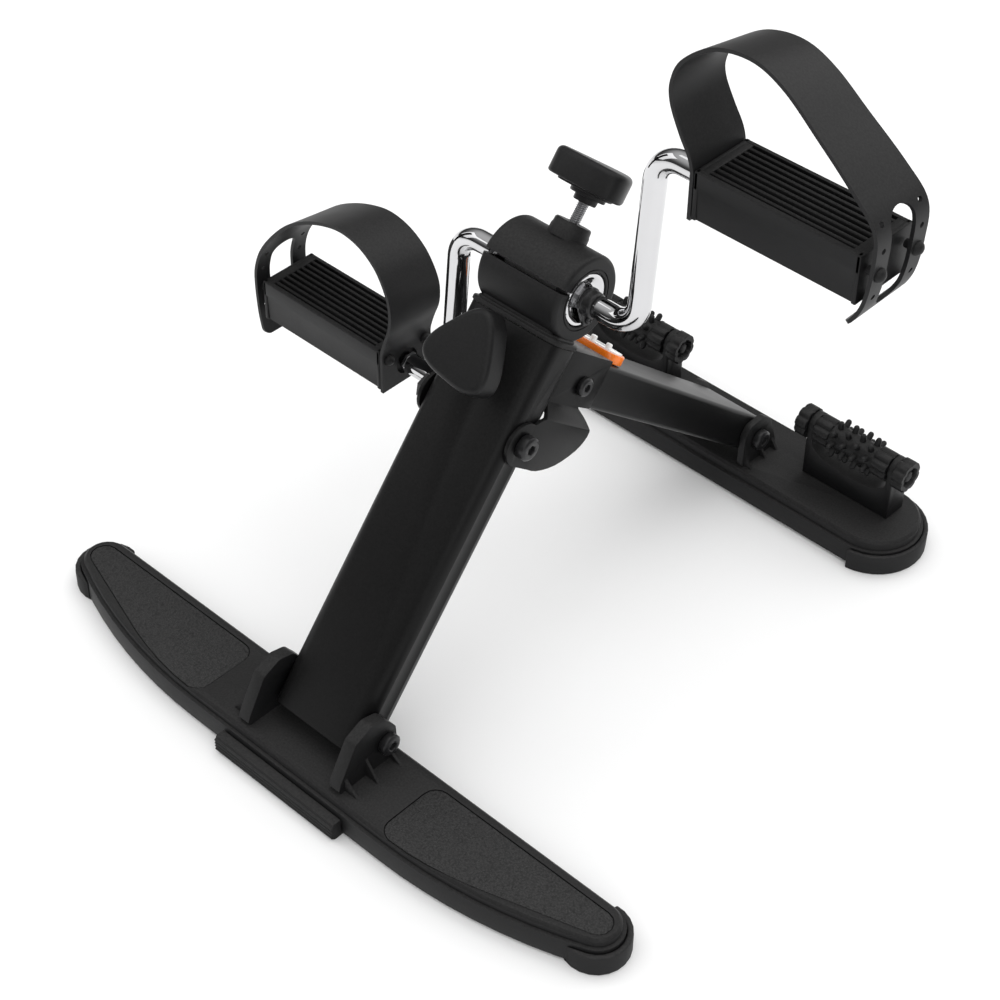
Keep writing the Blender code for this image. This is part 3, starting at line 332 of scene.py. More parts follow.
def moved(bm, x=0.0, y=0.0, z=0.0):
    return shifted(bm, Matrix.Translation((x, y, z)))


def flipped(side):
    """The identity for the right side, or the mirror image across X = 0 for the left."""
    return Matrix.Diagonal((side, 1.0, 1.0, 1.0))


def together(solids):
    bm = bmesh.new()
    for solid in solids:
        mesh = bpy.data.meshes.new("together")
        solid.to_mesh(mesh)
        solid.free()
        bm.from_mesh(mesh)
        bpy.data.meshes.remove(mesh)
    return bm


def soften(bm, width, angle=32.0, segments=2):
    """Rounds a solid's sharp edges."""
    bmesh.ops.remove_doubles(bm, verts=bm.verts, dist=2e-6)
    bmesh.ops.dissolve_limit(
        bm, angle_limit=math.radians(0.6), use_dissolve_boundaries=False, verts=bm.verts, edges=bm.edges
    )
    bm.normal_update()
    limit = math.radians(angle)
    sharp = [edge for edge in bm.edges if edge.is_manifold and edge.calc_face_angle(0.0) > limit]
    if sharp:
        round_edges(bm, sharp, width, segments)
    return bm


# Pieces -------------------------------------------------------------------------------------------
def piece(name, bm, finish, nodes, matrix=WORLD, smooth=42.0):
    """A finished piece that stands for CAD nodes: it goes on their body with its own finish, and the nodes
    are hidden.
    """
    nodes = (nodes,) if isinstance(nodes, str) else nodes
    shifted(bm, matrix)
    bmesh.ops.recalc_face_normals(bm, faces=bm.faces)
    mesh = bpy.data.meshes.new(name)
    bm.to_mesh(mesh)
    bm.free()
    mesh.shade_smooth()
    mesh.set_sharp_from_angle(angle=math.radians(smooth))
    mesh.materials.append(material_for(finish))
    item = bpy.data.objects.new(name, mesh)
    bpy.context.scene.collection.objects.link(item)
    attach(item, frame["nodes"][nodes[0]]["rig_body"])
    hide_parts(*nodes)
    return item


def refined(node, finish, width, angle=32.0, segments=2):
    """A copy of a CAD node's solid with its edges rounded."""
    bm = bmesh.new()
    bm.from_mesh(frame["nodes"][node].data)
    soften(bm, width, angle, segments)
    return piece(f"{node}_surface", bm, finish, node)


def repaint(node, finish):
    """A CAD node that keeps its own mesh and gets its finish."""
    mesh = frame["nodes"][node].data
    mesh.materials.clear()
    mesh.materials.append(material_for(finish))


# Shader groups ------------------------------------------------------------------------------------
def new_group(name, inputs, outputs):
    group = bpy.data.node_groups.new(name, "ShaderNodeTree")
    for socket, kind, default in inputs:
        made = group.interface.new_socket(socket, in_out="INPUT", socket_type=kind)
        made.default_value = default
    for socket, kind in outputs:
        group.interface.new_socket(socket, in_out="OUTPUT", socket_type=kind)
    nodes = group.nodes
    return group, nodes.new("NodeGroupInput"), nodes.new("NodeGroupOutput")


def linked(tree, start, end):
    tree.links.new(start, end)


def noise(tree, scale, detail, source):
    """Noise in object coordinates; scale is a socket or a number."""
    texture = tree.nodes.new("ShaderNodeTexNoise")
    texture.inputs["Detail"].default_value = detail
    linked(tree, source, texture.inputs["Vector"])
    if isinstance(scale, (int, float)):
        texture.inputs["Scale"].default_value = scale
    else:
        linked(tree, scale, texture.inputs["Scale"])
    return texture


def maths(tree, operation, first, second):
    node = tree.nodes.new("ShaderNodeMath")
    node.operation = operation
    for socket, value in zip(node.inputs, (first, second)):
        if isinstance(value, (int, float)):
            socket.default_value = value
        else:
            linked(tree, value, socket)
    return node.outputs[0]


def surface_group():
    """Colour with faint cloudiness and settled dust on upward faces, and a roughness that follows both."""
    name = "worn_surface"
    if name in bpy.data.node_groups:
        return bpy.data.node_groups[name]
    group, start, end = new_group(
        name,
        (
            ("Color", "NodeSocketColor", (0.02, 0.02, 0.02, 1.0)),
            ("Roughness", "NodeSocketFloat", 0.5),
            ("Cloud Scale", "NodeSocketFloat", 35.0),
            ("Cloud", "NodeSocketFloat", 0.15),
            ("Dust", "NodeSocketFloat", 0.02),
        ),
        (("Color", "NodeSocketColor"), ("Roughness", "NodeSocketFloat")),
    )
    where = group.nodes.new("ShaderNodeTexCoord").outputs["Object"]
    cloud = noise(group, start.outputs["Cloud Scale"], 3.0, where).outputs["Fac"]
    centred = maths(group, "SUBTRACT", cloud, 0.5)
    swing = maths(group, "MULTIPLY", centred, start.outputs["Cloud"])
    factor = maths(group, "ADD", maths(group, "MULTIPLY", swing, 2.0), 1.0)
    tint = group.nodes.new("ShaderNodeVectorMath")
    tint.operation = "SCALE"
    linked(group, start.outputs["Color"], tint.inputs[0])
    linked(group, factor, tint.inputs["Scale"])
    normal = group.nodes.new("ShaderNodeNewGeometry").outputs["Normal"]
    split = group.nodes.new("ShaderNodeSeparateXYZ")
    linked(group, normal, split.inputs[0])
    facing = maths(group, "MAXIMUM", split.outputs["Z"], 0.0)
    speckle = noise(group, 900.0, 2.0, where).outputs["Fac"]
    dust = maths(group, "MULTIPLY", maths(group, "MULTIPLY", facing, speckle), start.outputs["Dust"])
    mix = group.nodes.new("ShaderNodeMix")
    mix.data_type = "RGBA"
    linked(group, dust, mix.inputs["Factor"])
    linked(group, tint.outputs[0], mix.inputs["A"])
    mix.inputs["B"].default_value = (0.42, 0.41, 0.40, 1.0)
    linked(group, mix.outputs["Result"], end.inputs["Color"])
    rough = maths(group, "ADD", start.outputs["Roughness"], maths(group, "MULTIPLY", swing, 0.6))
    rough = maths(group, "ADD", rough, dust)
    linked(group, maths(group, "MINIMUM", rough, 1.0), end.inputs["Roughness"])
    return group


def grain_group():
    """Height of a fine moulded grain over a slight unevenness."""
    name = "moulded_grain"
    if name in bpy.data.node_groups:
        return bpy.data.node_groups[name]
    group, start, end = new_group(
        name,
        (("Scale", "NodeSocketFloat", 2200.0), ("Waviness", "NodeSocketFloat", 0.3)),
        (("Height", "NodeSocketFloat"),),
    )
    where = group.nodes.new("ShaderNodeTexCoord").outputs["Object"]
    fine = noise(group, start.outputs["Scale"], 2.0, where).outputs["Fac"]
    broad = noise(group, 60.0, 1.0, where).outputs["Fac"]
    height = maths(group, "ADD", fine, maths(group, "MULTIPLY", broad, start.outputs["Waviness"]))
    linked(group, height, end.inputs["Height"])
    return group


def pebble_shade_group():
    """Height of coarse anti-slip grain (small raised islands), and painted shade that darkens the gaps
    between them.
    """
    name = "pebble_grain"
    if name in bpy.data.node_groups:
        return bpy.data.node_groups[name]
    group, start, end = new_group(
        name,
        (("Scale", "NodeSocketFloat", 900.0),),
        (("Height", "NodeSocketFloat"), ("Shade", "NodeSocketFloat")),
    )
    where = group.nodes.new("ShaderNodeTexCoord").outputs["Object"]
    cells = group.nodes.new("ShaderNodeTexVoronoi")
    linked(group, where, cells.inputs["Vector"])
    linked(group, start.outputs["Scale"], cells.inputs["Scale"])
    bump = maths(group, "SUBTRACT", 1.0, cells.outputs["Distance"])
    rough = noise(group, 2600.0, 2.0, where).outputs["Fac"]
    height = maths(group, "ADD", bump, maths(group, "MULTIPLY", rough, 0.5))
    linked(group, height, end.inputs["Height"])
    # Painted shade: the grain's height becomes a colour factor, so the gaps between the islands are painted
    # darker.
    linked(group, maths(group, "MULTIPLY", height, 0.9), end.inputs["Shade"])
    return group


def brushed_group():
    """Height of fine lines round or along a turned metal piece, and a roughness mask."""
    name = "turned_lines"
    if name in bpy.data.node_groups:
        return bpy.data.node_groups[name]
    group, start, end = new_group(
        name,
        (("Stretch", "NodeSocketVector", (4000.0, 60.0, 60.0)),),
        (("Height", "NodeSocketFloat"), ("Mask", "NodeSocketFloat")),
    )
    where = group.nodes.new("ShaderNodeTexCoord").outputs["Object"]
    scaled = group.nodes.new("ShaderNodeVectorMath")
    scaled.operation = "MULTIPLY"
    linked(group, where, scaled.inputs[0])
    linked(group, start.outputs["Stretch"], scaled.inputs[1])
    lines = noise(group, 1.0, 3.0, scaled.outputs[0]).outputs["Fac"]
    linked(group, lines, end.inputs["Height"])
    linked(group, lines, end.inputs["Mask"])
    return group


# Finishes -----------------------------------------------------------------------------------------
def base_material(name):
    material = bpy.data.materials.new(name)
    material.use_nodes = True
    tree = material.node_tree
    return material, tree, tree.nodes["Principled BSDF"]


def add_group(tree, group, **values):
    node = tree.nodes.new("ShaderNodeGroup")
    node.node_tree = group
    for socket, value in values.items():
        node.inputs[socket.replace("_", " ")].default_value = value
    return node


def add_bump(tree, shader, height, strength, distance):
    bump = tree.nodes.new("ShaderNodeBump")
    bump.inputs["Strength"].default_value = strength
    bump.inputs["Distance"].default_value = distance
    linked(tree, height, bump.inputs["Height"])
    linked(tree, bump.outputs["Normal"], shader.inputs["Normal"])


def add_surface(tree, shader, tone, roughness, cloud, dust, scale):
    """Gives a shader clouded roughness, and returns the colour that goes with it."""
    surface = add_group(tree, surface_group(), Color=(*tone, 1.0), Roughness=roughness)
    surface.inputs["Cloud"].default_value = cloud
    surface.inputs["Dust"].default_value = dust
    surface.inputs["Cloud Scale"].default_value = scale
    linked(tree, surface.outputs["Roughness"], shader.inputs["Roughness"])
    return surface.outputs["Color"]


def moulded(name, tone, roughness, cloud, dust, grain, strength, distance, specular, metallic):
    """A painted, moulded or rubber finish: cloudy colour, fine grain and settled dust."""
    if name in bpy.data.materials:
        return bpy.data.materials[name]
    material, tree, shader = base_material(name)
    shade = add_surface(tree, shader, tone, roughness, cloud, dust, 40.0)
    linked(tree, shade, shader.inputs["Base Color"])
    shader.inputs["Specular IOR Level"].default_value = specular
    shader.inputs["Metallic"].default_value = metallic
    grains = add_group(tree, grain_group(), Scale=grain, Waviness=0.4)
    add_bump(tree, shader, grains.outputs["Height"], strength, distance)
    return material


def metal(name, tone, roughness, spread, stretch, strength):
    """Bare or plated metal with fine working lines."""
    if name in bpy.data.materials:
        return bpy.data.materials[name]
    material, tree, shader = base_material(name)
    shader.inputs["Metallic"].default_value = 1.0
    shade = add_surface(tree, shader, tone, roughness, spread, 0.0, 55.0)
    linked(tree, shade, shader.inputs["Base Color"])
    lines = add_group(tree, brushed_group(), Stretch=stretch)
    add_bump(tree, shader, lines.outputs["Height"], strength, 0.0001)
    return material


def pad():
    name = "grained_pad"
    if name in bpy.data.materials:
        return bpy.data.materials[name]
    material, tree, shader = base_material(name)
    grain_and_painted_shade = add_group(tree, pebble_shade_group(), Scale=1000.0)
    shade = add_surface(tree, shader, colours().pad, 0.62, 0.25, 0.09, 70.0)
    tint = tree.nodes.new("ShaderNodeVectorMath")
    tint.operation = "SCALE"
    linked(tree, shade, tint.inputs[0])
    # Painted shade: the pad's colour is darkened in the gaps between the raised grain islands.
    linked(tree, grain_and_painted_shade.outputs["Shade"], tint.inputs["Scale"])
    linked(tree, tint.outputs[0], shader.inputs["Base Color"])
    add_bump(tree, shader, grain_and_painted_shade.outputs["Height"], 0.7, 0.0005)
    return material


# Material name, colour, roughness, cloudiness, dust, grain scale, grain strength and depth, specular
# level and metallic share.
MOULDED = {
    "paint": ("satin_powder_coat", "paint", 0.38, 0.12, 0.03, 1500.0, 0.06, 0.0002, 0.16, 0.0),
    "moulding": ("black_moulding", "moulding", 0.48, 0.16, 0.06, 2400.0, 0.14, 0.0002, 0.22, 0.0),
    "knob": ("knob_moulding", "moulding", 0.42, 0.10, 0.03, 2000.0, 0.16, 0.0002, 0.22, 0.0),
    "rubber": ("cap_rubber", "rubber", 0.62, 0.14, 0.08, 1300.0, 0.20, 0.0003, 0.22, 0.0),
    "strap": ("strap_rubber", "rubber", 0.46, 0.20, 0.06, 1100.0, 0.10, 0.0002, 0.22, 0.0),
    "black_steel": ("black_oxide", "black_steel", 0.34, 0.22, 0.03, 1700.0, 0.10, 0.0001, 0.5, 0.3),
    "orange": ("orange_gloss", "orange", 0.22, 0.05, 0.01, 900.0, 0.04, 0.0001, 0.5, 0.0),
    "white": ("white_gloss", "white", 0.24, 0.04, 0.01, 900.0, 0.04, 0.0001, 0.5, 0.0),
    "screen": ("display_window", "screen", 0.10, 0.10, 0.01, 700.0, 0.02, 0.0001, 0.5, 0.0),
}

# Material name, colour, roughness, cloudiness, stretch of the working lines and their strength.
METALS = {
    "chrome": ("polished_chrome", "chrome", 0.055, 0.05, (60.0, 60.0, 60.0), 0.02),
    "steel": ("turned_steel", "steel", 0.32, 0.20, (3500.0, 40.0, 40.0), 0.12),
}


def material_for(finish):
    if finish == "pad":
        return pad()
    kind, table = (metal, METALS) if finish in METALS else (moulded, MOULDED)
    name, tone, *values = table[finish]
    return kind(name, getattr(colours(), tone), *values)


# Post and drum ------------------------------------------------------------------------------------
def build_post():
    refined("post_tube", "paint", 0.0004)
    repaint("foot_plug", "moulding")
    refined("pivot_bolt", "black_steel", 0.0004)
    refined("pivot_nut", "black_steel", 0.0004)


def shell_profile(end):
    """Closed section of the hollow drum, with rounded rims and a groove round each end face."""
    radius = 0.0235
    half = 0.0264
    right = [(0.0146, half - 0.0030), (0.0146, half - 0.0004), (0.0150, half), (0.0161, half)]
    right += [(0.0161, half - 0.0006), (0.0168, half - 0.0006), (0.0168, half)]
    right += list(reversed(arc((radius - end, half - end), end, 0, 90, 8)))
    left = [(r, -h) for r, h in reversed(right)]
    return right + left + [(0.0205, 0.003 - half), (0.0205, half - 0.003)]


def build_drum():
    profile = shell_profile(sizes().drum_fillet)
    gap = math.degrees(math.asin(0.0012 / 0.0235))
    upper = lathe(profile, 60, gap, 180 - 2 * gap)
    shifted(upper, TO_X)
    boss = [(0.0, 0.0215), (0.0107, 0.0215), (0.0105, 0.0262), (0.0101, 0.0272), (0.0099, 0.0298)]
    boss += [(0.0092, 0.0305), (0.0036, 0.0305), (0.0034, 0.0300), (0.0, 0.0300)]
    piece("drum_upper", together([upper, solid_lathe(boss)]), "moulding", "drum_upper_shell", DRUM)

    lower = lathe(profile, 60, 180 + gap, 180 - 2 * gap)
    shifted(lower, TO_X)
    joint = -0.0258
    neck = slab(rounded_rectangle(0.0245, 0.0115, 0.0045), joint, -0.0170, 0.0, 0.0)
    flange = slab(rounded_rectangle(0.0296, 0.0136, 0.0082), joint, joint + 0.0027, 0.0004, 0.0009)
    step = slab(rounded_rectangle(0.0268, 0.0124, 0.0065), joint + 0.0020, joint + 0.0042, 0.0, 0.0010)
    piece("drum_lower", together([lower, neck, flange, step]), "moulding", "drum_lower_shell", DRUM)

    for side_name, side in SIDES:
        ring = [(0.0063, 0.0236), (0.0142, 0.0236), (0.0142, 0.0254), (0.0138, 0.0258), (0.0112, 0.0258)]
        ring += [(0.0108, 0.0255), (0.0063, 0.0255)]
        bearing = shifted(lathe(ring), flipped(side) @ TO_X)
        piece(f"drum_ring_{side_name}", bearing, "chrome", f"bearing_{side_name}", DRUM)
    repaint("tension_nut", "steel")


# Knobs --------------------------------------------------------------------------------------------
def knob_outline(turn, corner, radius):
    corners = []
    for i in range(3):
        angle = math.radians(turn + 120 * i)
        corners.append((corner * math.cos(angle), corner * math.sin(angle)))
    return rounded(corners, radius, 14)


def knob_body(turn, low, high):
    rim = sizes().knob_rim
    outline = knob_outline(turn, sizes().knob_corner, 0.0145)
    body = slab(outline, low, high, 0.0014, rim, 7)
    collar = slab([(x * 0.74, y * 0.74) for x, y in outline], low - 0.0012, low + 0.001, 0.0006, 0.0)
    return [body, collar]


def threaded(radius, low, high, pitch=0.0010):
    profile = [(0.0, low), (radius - 0.0004, low)]
    turns = int((high - low - 0.001) / pitch)
    for i in range(turns):
        z = low + 0.0004 + i * pitch
        profile += [(radius, z + 0.30 * pitch), (radius, z + 0.45 * pitch)]
        profile.append((radius - 0.0005, z + 0.85 * pitch))
    return solid_lathe(profile + [(radius - 0.0005, high), (0.0, high)], 24)


def build_knobs():
    base = 0.0415
    body = knob_body(90, base + 0.0066, base + 0.0210)
    flange = [(0.0, base), (0.0058, base), (0.0062, base + 0.0006), (0.0063, base + 0.0030)]
    flange += [(0.0092, base + 0.0032), (0.0096, base + 0.0037), (0.0096, base + 0.0070)]
    flange.append((0.0, base + 0.0070))
    piece("tension_grip", together([*body, solid_lathe(flange)]), "knob", "tension_knob", DRUM)
    piece("tension_thread", threaded(0.0030, 0.0183, base + 0.0060), "steel", "tension_screw", DRUM)
    repaint("brake_shoe", "rubber")

    body = knob_body(82, 0.0268, 0.0415)
    flange = [(0.0, 0.0214), (0.0082, 0.0214), (0.0087, 0.0219), (0.0090, 0.0240), (0.0104, 0.0246)]
    flange += [(0.0108, 0.0252), (0.0108, 0.0275), (0.0, 0.0275)]
    piece("lock_grip", together([*body, solid_lathe(flange)]), "knob", "lock_knob", LOCK)
    piece("lock_thread", threaded(0.0030, -0.0177, 0.0300), "steel", "lock_screw", LOCK)
    refined("lock_washer", "steel", 0.0002)


# Front foot ---------------------------------------------------------------------------------------
def build_front_foot():
    refined("front_base", "moulding", sizes().edge)
    for side_name, _ in SIDES:
        refined(f"front_pad_{side_name}", "pad", 0.0003)
        refined(f"front_cap_{side_name}", "rubber", 0.0008)
    ribbed = [(-0.1985, 0.0), (-0.1996, 0.0008)]
    for i in range(4):
        z = 0.0014 + i * 0.0022
        ribbed += [(-0.2001, z), (-0.2010, z + 0.0005), (-0.2010, z + 0.0013), (-0.2001, z + 0.0018)]
    ribbed += [(-0.1996, 0.0113), (-0.1945, 0.0115), (-0.1943, 0.0017), (-0.1820, 0.0017), (-0.1820, 0.0)]
    strip = side_prism(list(reversed(ribbed)), -0.044, 0.044)
    piece("front_strip_ribbed", strip, "rubber", "front_foot_strip")
    refined("foot_bolt", "black_steel", 0.0004)
    refined("foot_nut", "black_steel", 0.0004)


# Arm and counter ----------------------------------------------------------------------------------
def hollowed(bm, start):
    """Rounds a box tube's long edges and opens its front end, which lies in the plane Y = start."""
    bm.normal_update()
    limit = math.radians(60.0)
    sharp = [edge for edge in bm.edges if edge.calc_face_angle(0.0) > limit]
    sharp = [edge for edge in sharp if max(vert.co.y for vert in edge.verts) > start + 1e-5]
    round_edges(bm, sharp, 0.0024, 4)
    front = min(bm.faces, key=lambda face: face.normal.y)
    bmesh.ops.inset_region(bm, faces=[front], thickness=0.0017)
    pocket = bmesh.ops.extrude_discrete_faces(bm, faces=[front])["faces"][0]
    bmesh.ops.translate(bm, verts=pocket.verts, vec=(0.0, 0.0300, 0.0))
    return bm


def build_arm():
    start = 0.0182
    reach = 0.2430
    height = 0.2150
    end = arc((reach, height), 0.0107, -90, 90, 20)
    outline = [(start, 0.2056)] + end + [(start, 0.2310)]
    piece("arm_tube", hollowed(side_prism(outline, -0.0212, 0.0212), start), "paint", "fold_arm", POST)
    refined("fold_bracket", "paint", 0.0005)
    repaint("lock_nut_plate", "steel")
    for side_name, _ in SIDES:
        refined(f"bracket_screw_{side_name}", "black_steel", 0.0003)


def build_counter():
    refined("counter_case", "orange", 0.0006, 40.0, 3)
    refined("counter_face", "white", 0.0004, 40.0, 3)
    refined("counter_screen", "screen", 0.0001)
    for side_name, _ in SIDES:
        refined(f"counter_button_{side_name}", "white", 0.0006, 40.0, 3)


# Rear foot and rollers ----------------------------------------------------------------------------
def build_rear_foot():
    refined("rear_base", "moulding", sizes().edge)
    refined("rear_bolt", "black_steel", 0.0004)
    refined("rear_nut", "black_steel", 0.0004)
    for side_name, _ in SIDES:
        refined(f"rear_cap_{side_name}", "rubber", 0.0008)
        refined(f"cradle_{side_name}", "moulding", sizes().edge)
        repaint(f"roller_axle_{side_name}", "steel")


def lobes(count, depth):
    """Radius factor of a fluted hub."""
    return lambda angle, height: 1.0 - depth * abs(math.cos(count * angle / 2)) ** 6


def nub_shape(reach, radius):
    """A peg standing on the roller with a round end."""
    profile = [(0.0, 0.0062), (radius * 1.12, 0.0062), (radius, reach - radius)]
    profile += [(radius * math.cos(a), reach - radius + radius * math.sin(a)) for a in quarter(4)[1:-1]]
    return solid_lathe(profile + [(0.0, reach)], 12)


def build_rollers():
    start = 0.0570
    end = 0.1082
    middle = (start + end) / 2
    for side_name, side in SIDES:
        solids = []
        for low, high in ((start, start + 0.0102), (end - 0.0102, end)):
            hub = [(0.0, low), (0.0084, low), (0.0090, low + 0.0007), (0.0090, high - 0.0007), (0.0084, high)]
            solids.append(shifted(solid_lathe(hub + [(0.0, high)], 96, lobes(8, 0.16)), TO_X))
        core = [(0.0, start + 0.009), (0.0074, start + 0.009), (0.0074, end - 0.009), (0.0, end - 0.009)]
        solids.append(shifted(solid_lathe(core), TO_X))
        count = sizes().nubs
        for column in range(4):
            x = middle + (column - 1.5) * 0.0078
            for i in range(count):
                turn = 2 * math.pi * (i + 0.5 * (column % 2)) / count
                nub = shifted(nub_shape(0.0121, sizes().nub), Matrix.Rotation(turn, 4, "X"))
                solids.append(moved(nub, x=x))
        roller = shifted(together(solids), flipped(side))
        piece(f"nubbed_roller_{side_name}", roller, "moulding", f"massage_roller_{side_name}", ROLLER_LINE)
        for place, near, far in (("inner", 0.0521, 0.0448), ("outer", 0.1131, 0.1204)):
            wheel = shifted(fluted_wheel(near, far), flipped(side))
            name = f"{side_name}_{place}"
            piece(f"fluted_wheel_{name}", wheel, "moulding", f"massage_wheel_{name}", ROLLER_LINE)


def fluted_wheel(near, far):
    """Small wheel beside a cradle, with a recessed face and a screw end in it."""
    out = 1.0 if far > near else -1.0
    profile = [(0.0, near), (0.0092, near), (0.0098, near + out * 0.0007), (0.0098, far - out * 0.0009)]
    profile += [(0.0090, far), (0.0066, far), (0.0060, far - out * 0.0006), (0.0058, far - out * 0.0026)]
    profile += [(0.0034, far - out * 0.0026), (0.0033, far - out * 0.0012), (0.0026, far - out * 0.0008)]
    profile += [(0.0, far - out * 0.0007)]

    def wave(angle, height):
        rim = abs(height - far) < 0.0027
        return lobes(8, 0.13)(angle, height) if not rim else 1.0 - 0.10 * abs(math.cos(4 * angle)) ** 6

    return shifted(solid_lathe(profile, 96, wave), TO_X)


# Crank --------------------------------------------------------------------------------------------
def crank_line(side):
    offset = 0.0593
    bend = sizes().bend
    throw = THROW.length
    line = [(0.0345, 0.0)]
    line += arc((offset - bend, bend), bend, -90, 0, 16)
    line += arc((offset + bend, throw - bend), bend, 180, 90, 16)
    line.append((0.0885, throw))
    radii = [sizes().rod] * len(line)
    line += [(0.0890, throw), (0.1745, throw)]
    radii += [0.0045] * 2
    return [Vector((side * x, side * z)) for x, z in line], radii


HUB_EAR = 0.0099


def crank_hub():
    """Domed cap that fits over the shaft's end, on a flange with an ear for a screw."""
    bore = 0.0063
    cap = [(0.0, 0.0304), (bore, 0.0304), (bore, 0.0282), (0.0076, 0.0282), (0.0073, 0.0294)]
    cap.append((0.0070, 0.0304))
    cap += [(0.0048 + 0.0022 * math.cos(a), 0.0320 + 0.0022 * math.sin(a)) for a in quarter(6)]
    outline = arc((0.0, 0.0), 0.0078, 0, 180, 28) + arc((0.0, -HUB_EAR), 0.0038, 180, 360, 20)
    outline = split_long(outline, 0.0015)
    inner = [Vector(point).normalized() * bore for point in outline]
    shrunk = [(x + n.x * 0.0004, y + n.y * 0.0004) for (x, y), n in zip(outline, inward_normals(outline))]
    levels = ((inner, 0.0290), (inner, 0.0270), (outline, 0.0270), (outline, 0.0286), (shrunk, 0.0290))
    flange = loft([[(x, y, z) for x, y in line] for line, z in levels], looped=True)
    return together([solid_lathe(cap + [(0.0, 0.0342)]), flange])


def cross_screw():
    """A small domed screw with a cross recess."""
    top = 0.03045
    deep = 0.0298
    head = [(0.0, 0.0272), (0.0014, 0.0272), (0.0014, 0.0292), (0.0024, 0.0292), (0.0023, 0.0299)]
    head += [(0.0018, 0.0304), (0.0014, top), (0.0013, deep), (0.0, deep)]

    def cross(angle, height):
        return 1.0 if height not in (top, deep) or abs(math.cos(2 * angle)) > 0.94 else 0.4

    return solid_lathe(head, 48, cross)


def build_crank():
    repaint("crank_shaft", "steel")
    repaint("brake_drum", "steel")
    for side_name, side in SIDES:
        line, radii = crank_line(side)
        nut = [(0.0, 0.0888), (0.0058, 0.0888), (0.0061, 0.0891), (0.0061, 0.0913), (0.0, 0.0915)]
        collar = solid_lathe(nut, 6)
        collar = shifted(collar, flipped(side) @ Matrix.Translation((0.0, 0.0, side * THROW.length)) @ TO_X)
        bent = together([rod(line, radii), collar])
        piece(f"crank_rod_{side_name}", bent, "chrome", f"crank_{side_name}", CRANK)
        hub = shifted(crank_hub(), Matrix.Diagonal((side, 1.0, side, 1.0)) @ TO_X)
        piece(f"crank_hub_{side_name}", hub, "black_steel", f"hub_clamp_{side_name}", CRANK)
        screw = shifted(cross_screw(), flipped(side) @ Matrix.Translation((0.0, 0.0, -side * HUB_EAR)) @ TO_X)
        piece(f"hub_screw_{side_name}", screw, "black_steel", f"clamp_bolt_{side_name}", CRANK)


# Pedals and straps --------------------------------------------------------------------------------
PEDAL_INNER = 0.0945
PEDAL_OUTER = 0.1865
PEDAL_HALF = 0.0185
PEDAL_TOP = 0.0145
PEDAL_BOTTOM = -0.0115
STUD_Y = 0.0136
STUD_Z = 0.0060


def pedal_place(side_name):
    return Matrix.Translation(place_of(f"pedal_{side_name}_spin"))


def stud(seat, out, radius=0.0036):
    """A domed peg head on a strap, pointing out along X."""
    profile = [(0.0, seat - out * 0.006), (0.0022, seat - out * 0.006), (0.0022, seat), (radius, seat)]
    profile += [(radius * math.cos(a), seat + out * 0.0030 * math.sin(a)) for a in quarter(5)[:-1]]
    return shifted(solid_lathe(profile + [(0.0, seat + out * 0.0030)], 24), TO_X)


def build_pedals():
    count = sizes().slats
    wall = 0.0026
    inner, outer, half, top, bottom = PEDAL_INNER, PEDAL_OUTER, PEDAL_HALF, PEDAL_TOP, PEDAL_BOTTOM
    pitch = (2 * half - wall) / count
    for side_name, side in SIDES:
        solids = []
        for near, far, inset, low, high, radius in (
            (0.0, wall, 0.0, bottom, top, 0.0007),
            (0.0010, 0.0062, 0.0010, top - 0.0040, top - 0.0001, 0.0005),
            (0.0300, 0.0320, 0.0010, top - 0.0100, top - 0.0040, 0.0003),
        ):
            for start, end in ((inner + near, inner + far), (outer - far, outer - near)):
                solids.append(bar((start, inset - half, low), (end, half - inset, high), radius))
        for y in (-1, 1):
            solids.append(side_wall(y))
        for i in range(1, count):
            y = wall / 2 - half + i * pitch
            corner = (inner + 0.004, y - 0.0010, 0.0046)
            solids.append(bar(corner, (outer - 0.004, y + 0.0010, top - 0.0003), 0.0006))
        ends = (inner + 0.001, outer - 0.001)
        sleeve = [(0.0, ends[0]), (0.0078, ends[0]), (0.0078, ends[1]), (0.0, ends[1])]
        solids.append(shifted(solid_lathe(sleeve, 32), TO_X))
        for y in (-1, 1):
            solids.append(moved(stud(outer + 0.0070, 1), y=y * STUD_Y, z=STUD_Z))
            solids.append(moved(stud(inner - 0.0023, -1, 0.0032), y=y * STUD_Y, z=0.0080))
        body = shifted(together(solids), flipped(side))
        piece(f"pedal_body_{side_name}", body, "moulding", f"pedal_{side_name}", pedal_place(side_name))


def side_wall(y):
    """A pedal's long wall: a thin plate that draws in slightly towards its lower edge."""
    half = PEDAL_HALF
    section = [(half, PEDAL_TOP - 0.0006), (half - 0.0006, PEDAL_TOP), (half - 0.0026, PEDAL_TOP)]
    section += [(half - 0.0036, PEDAL_BOTTOM), (half - 0.0014, PEDAL_BOTTOM)]
    section += [(half - 0.0009, PEDAL_BOTTOM + 0.0005), (half - 0.0003, 0.0050), (half, 0.0055)]
    section = [(y * a, z) for a, z in section]
    return side_prism(section, PEDAL_INNER + 0.0005, PEDAL_OUTER - 0.0005)


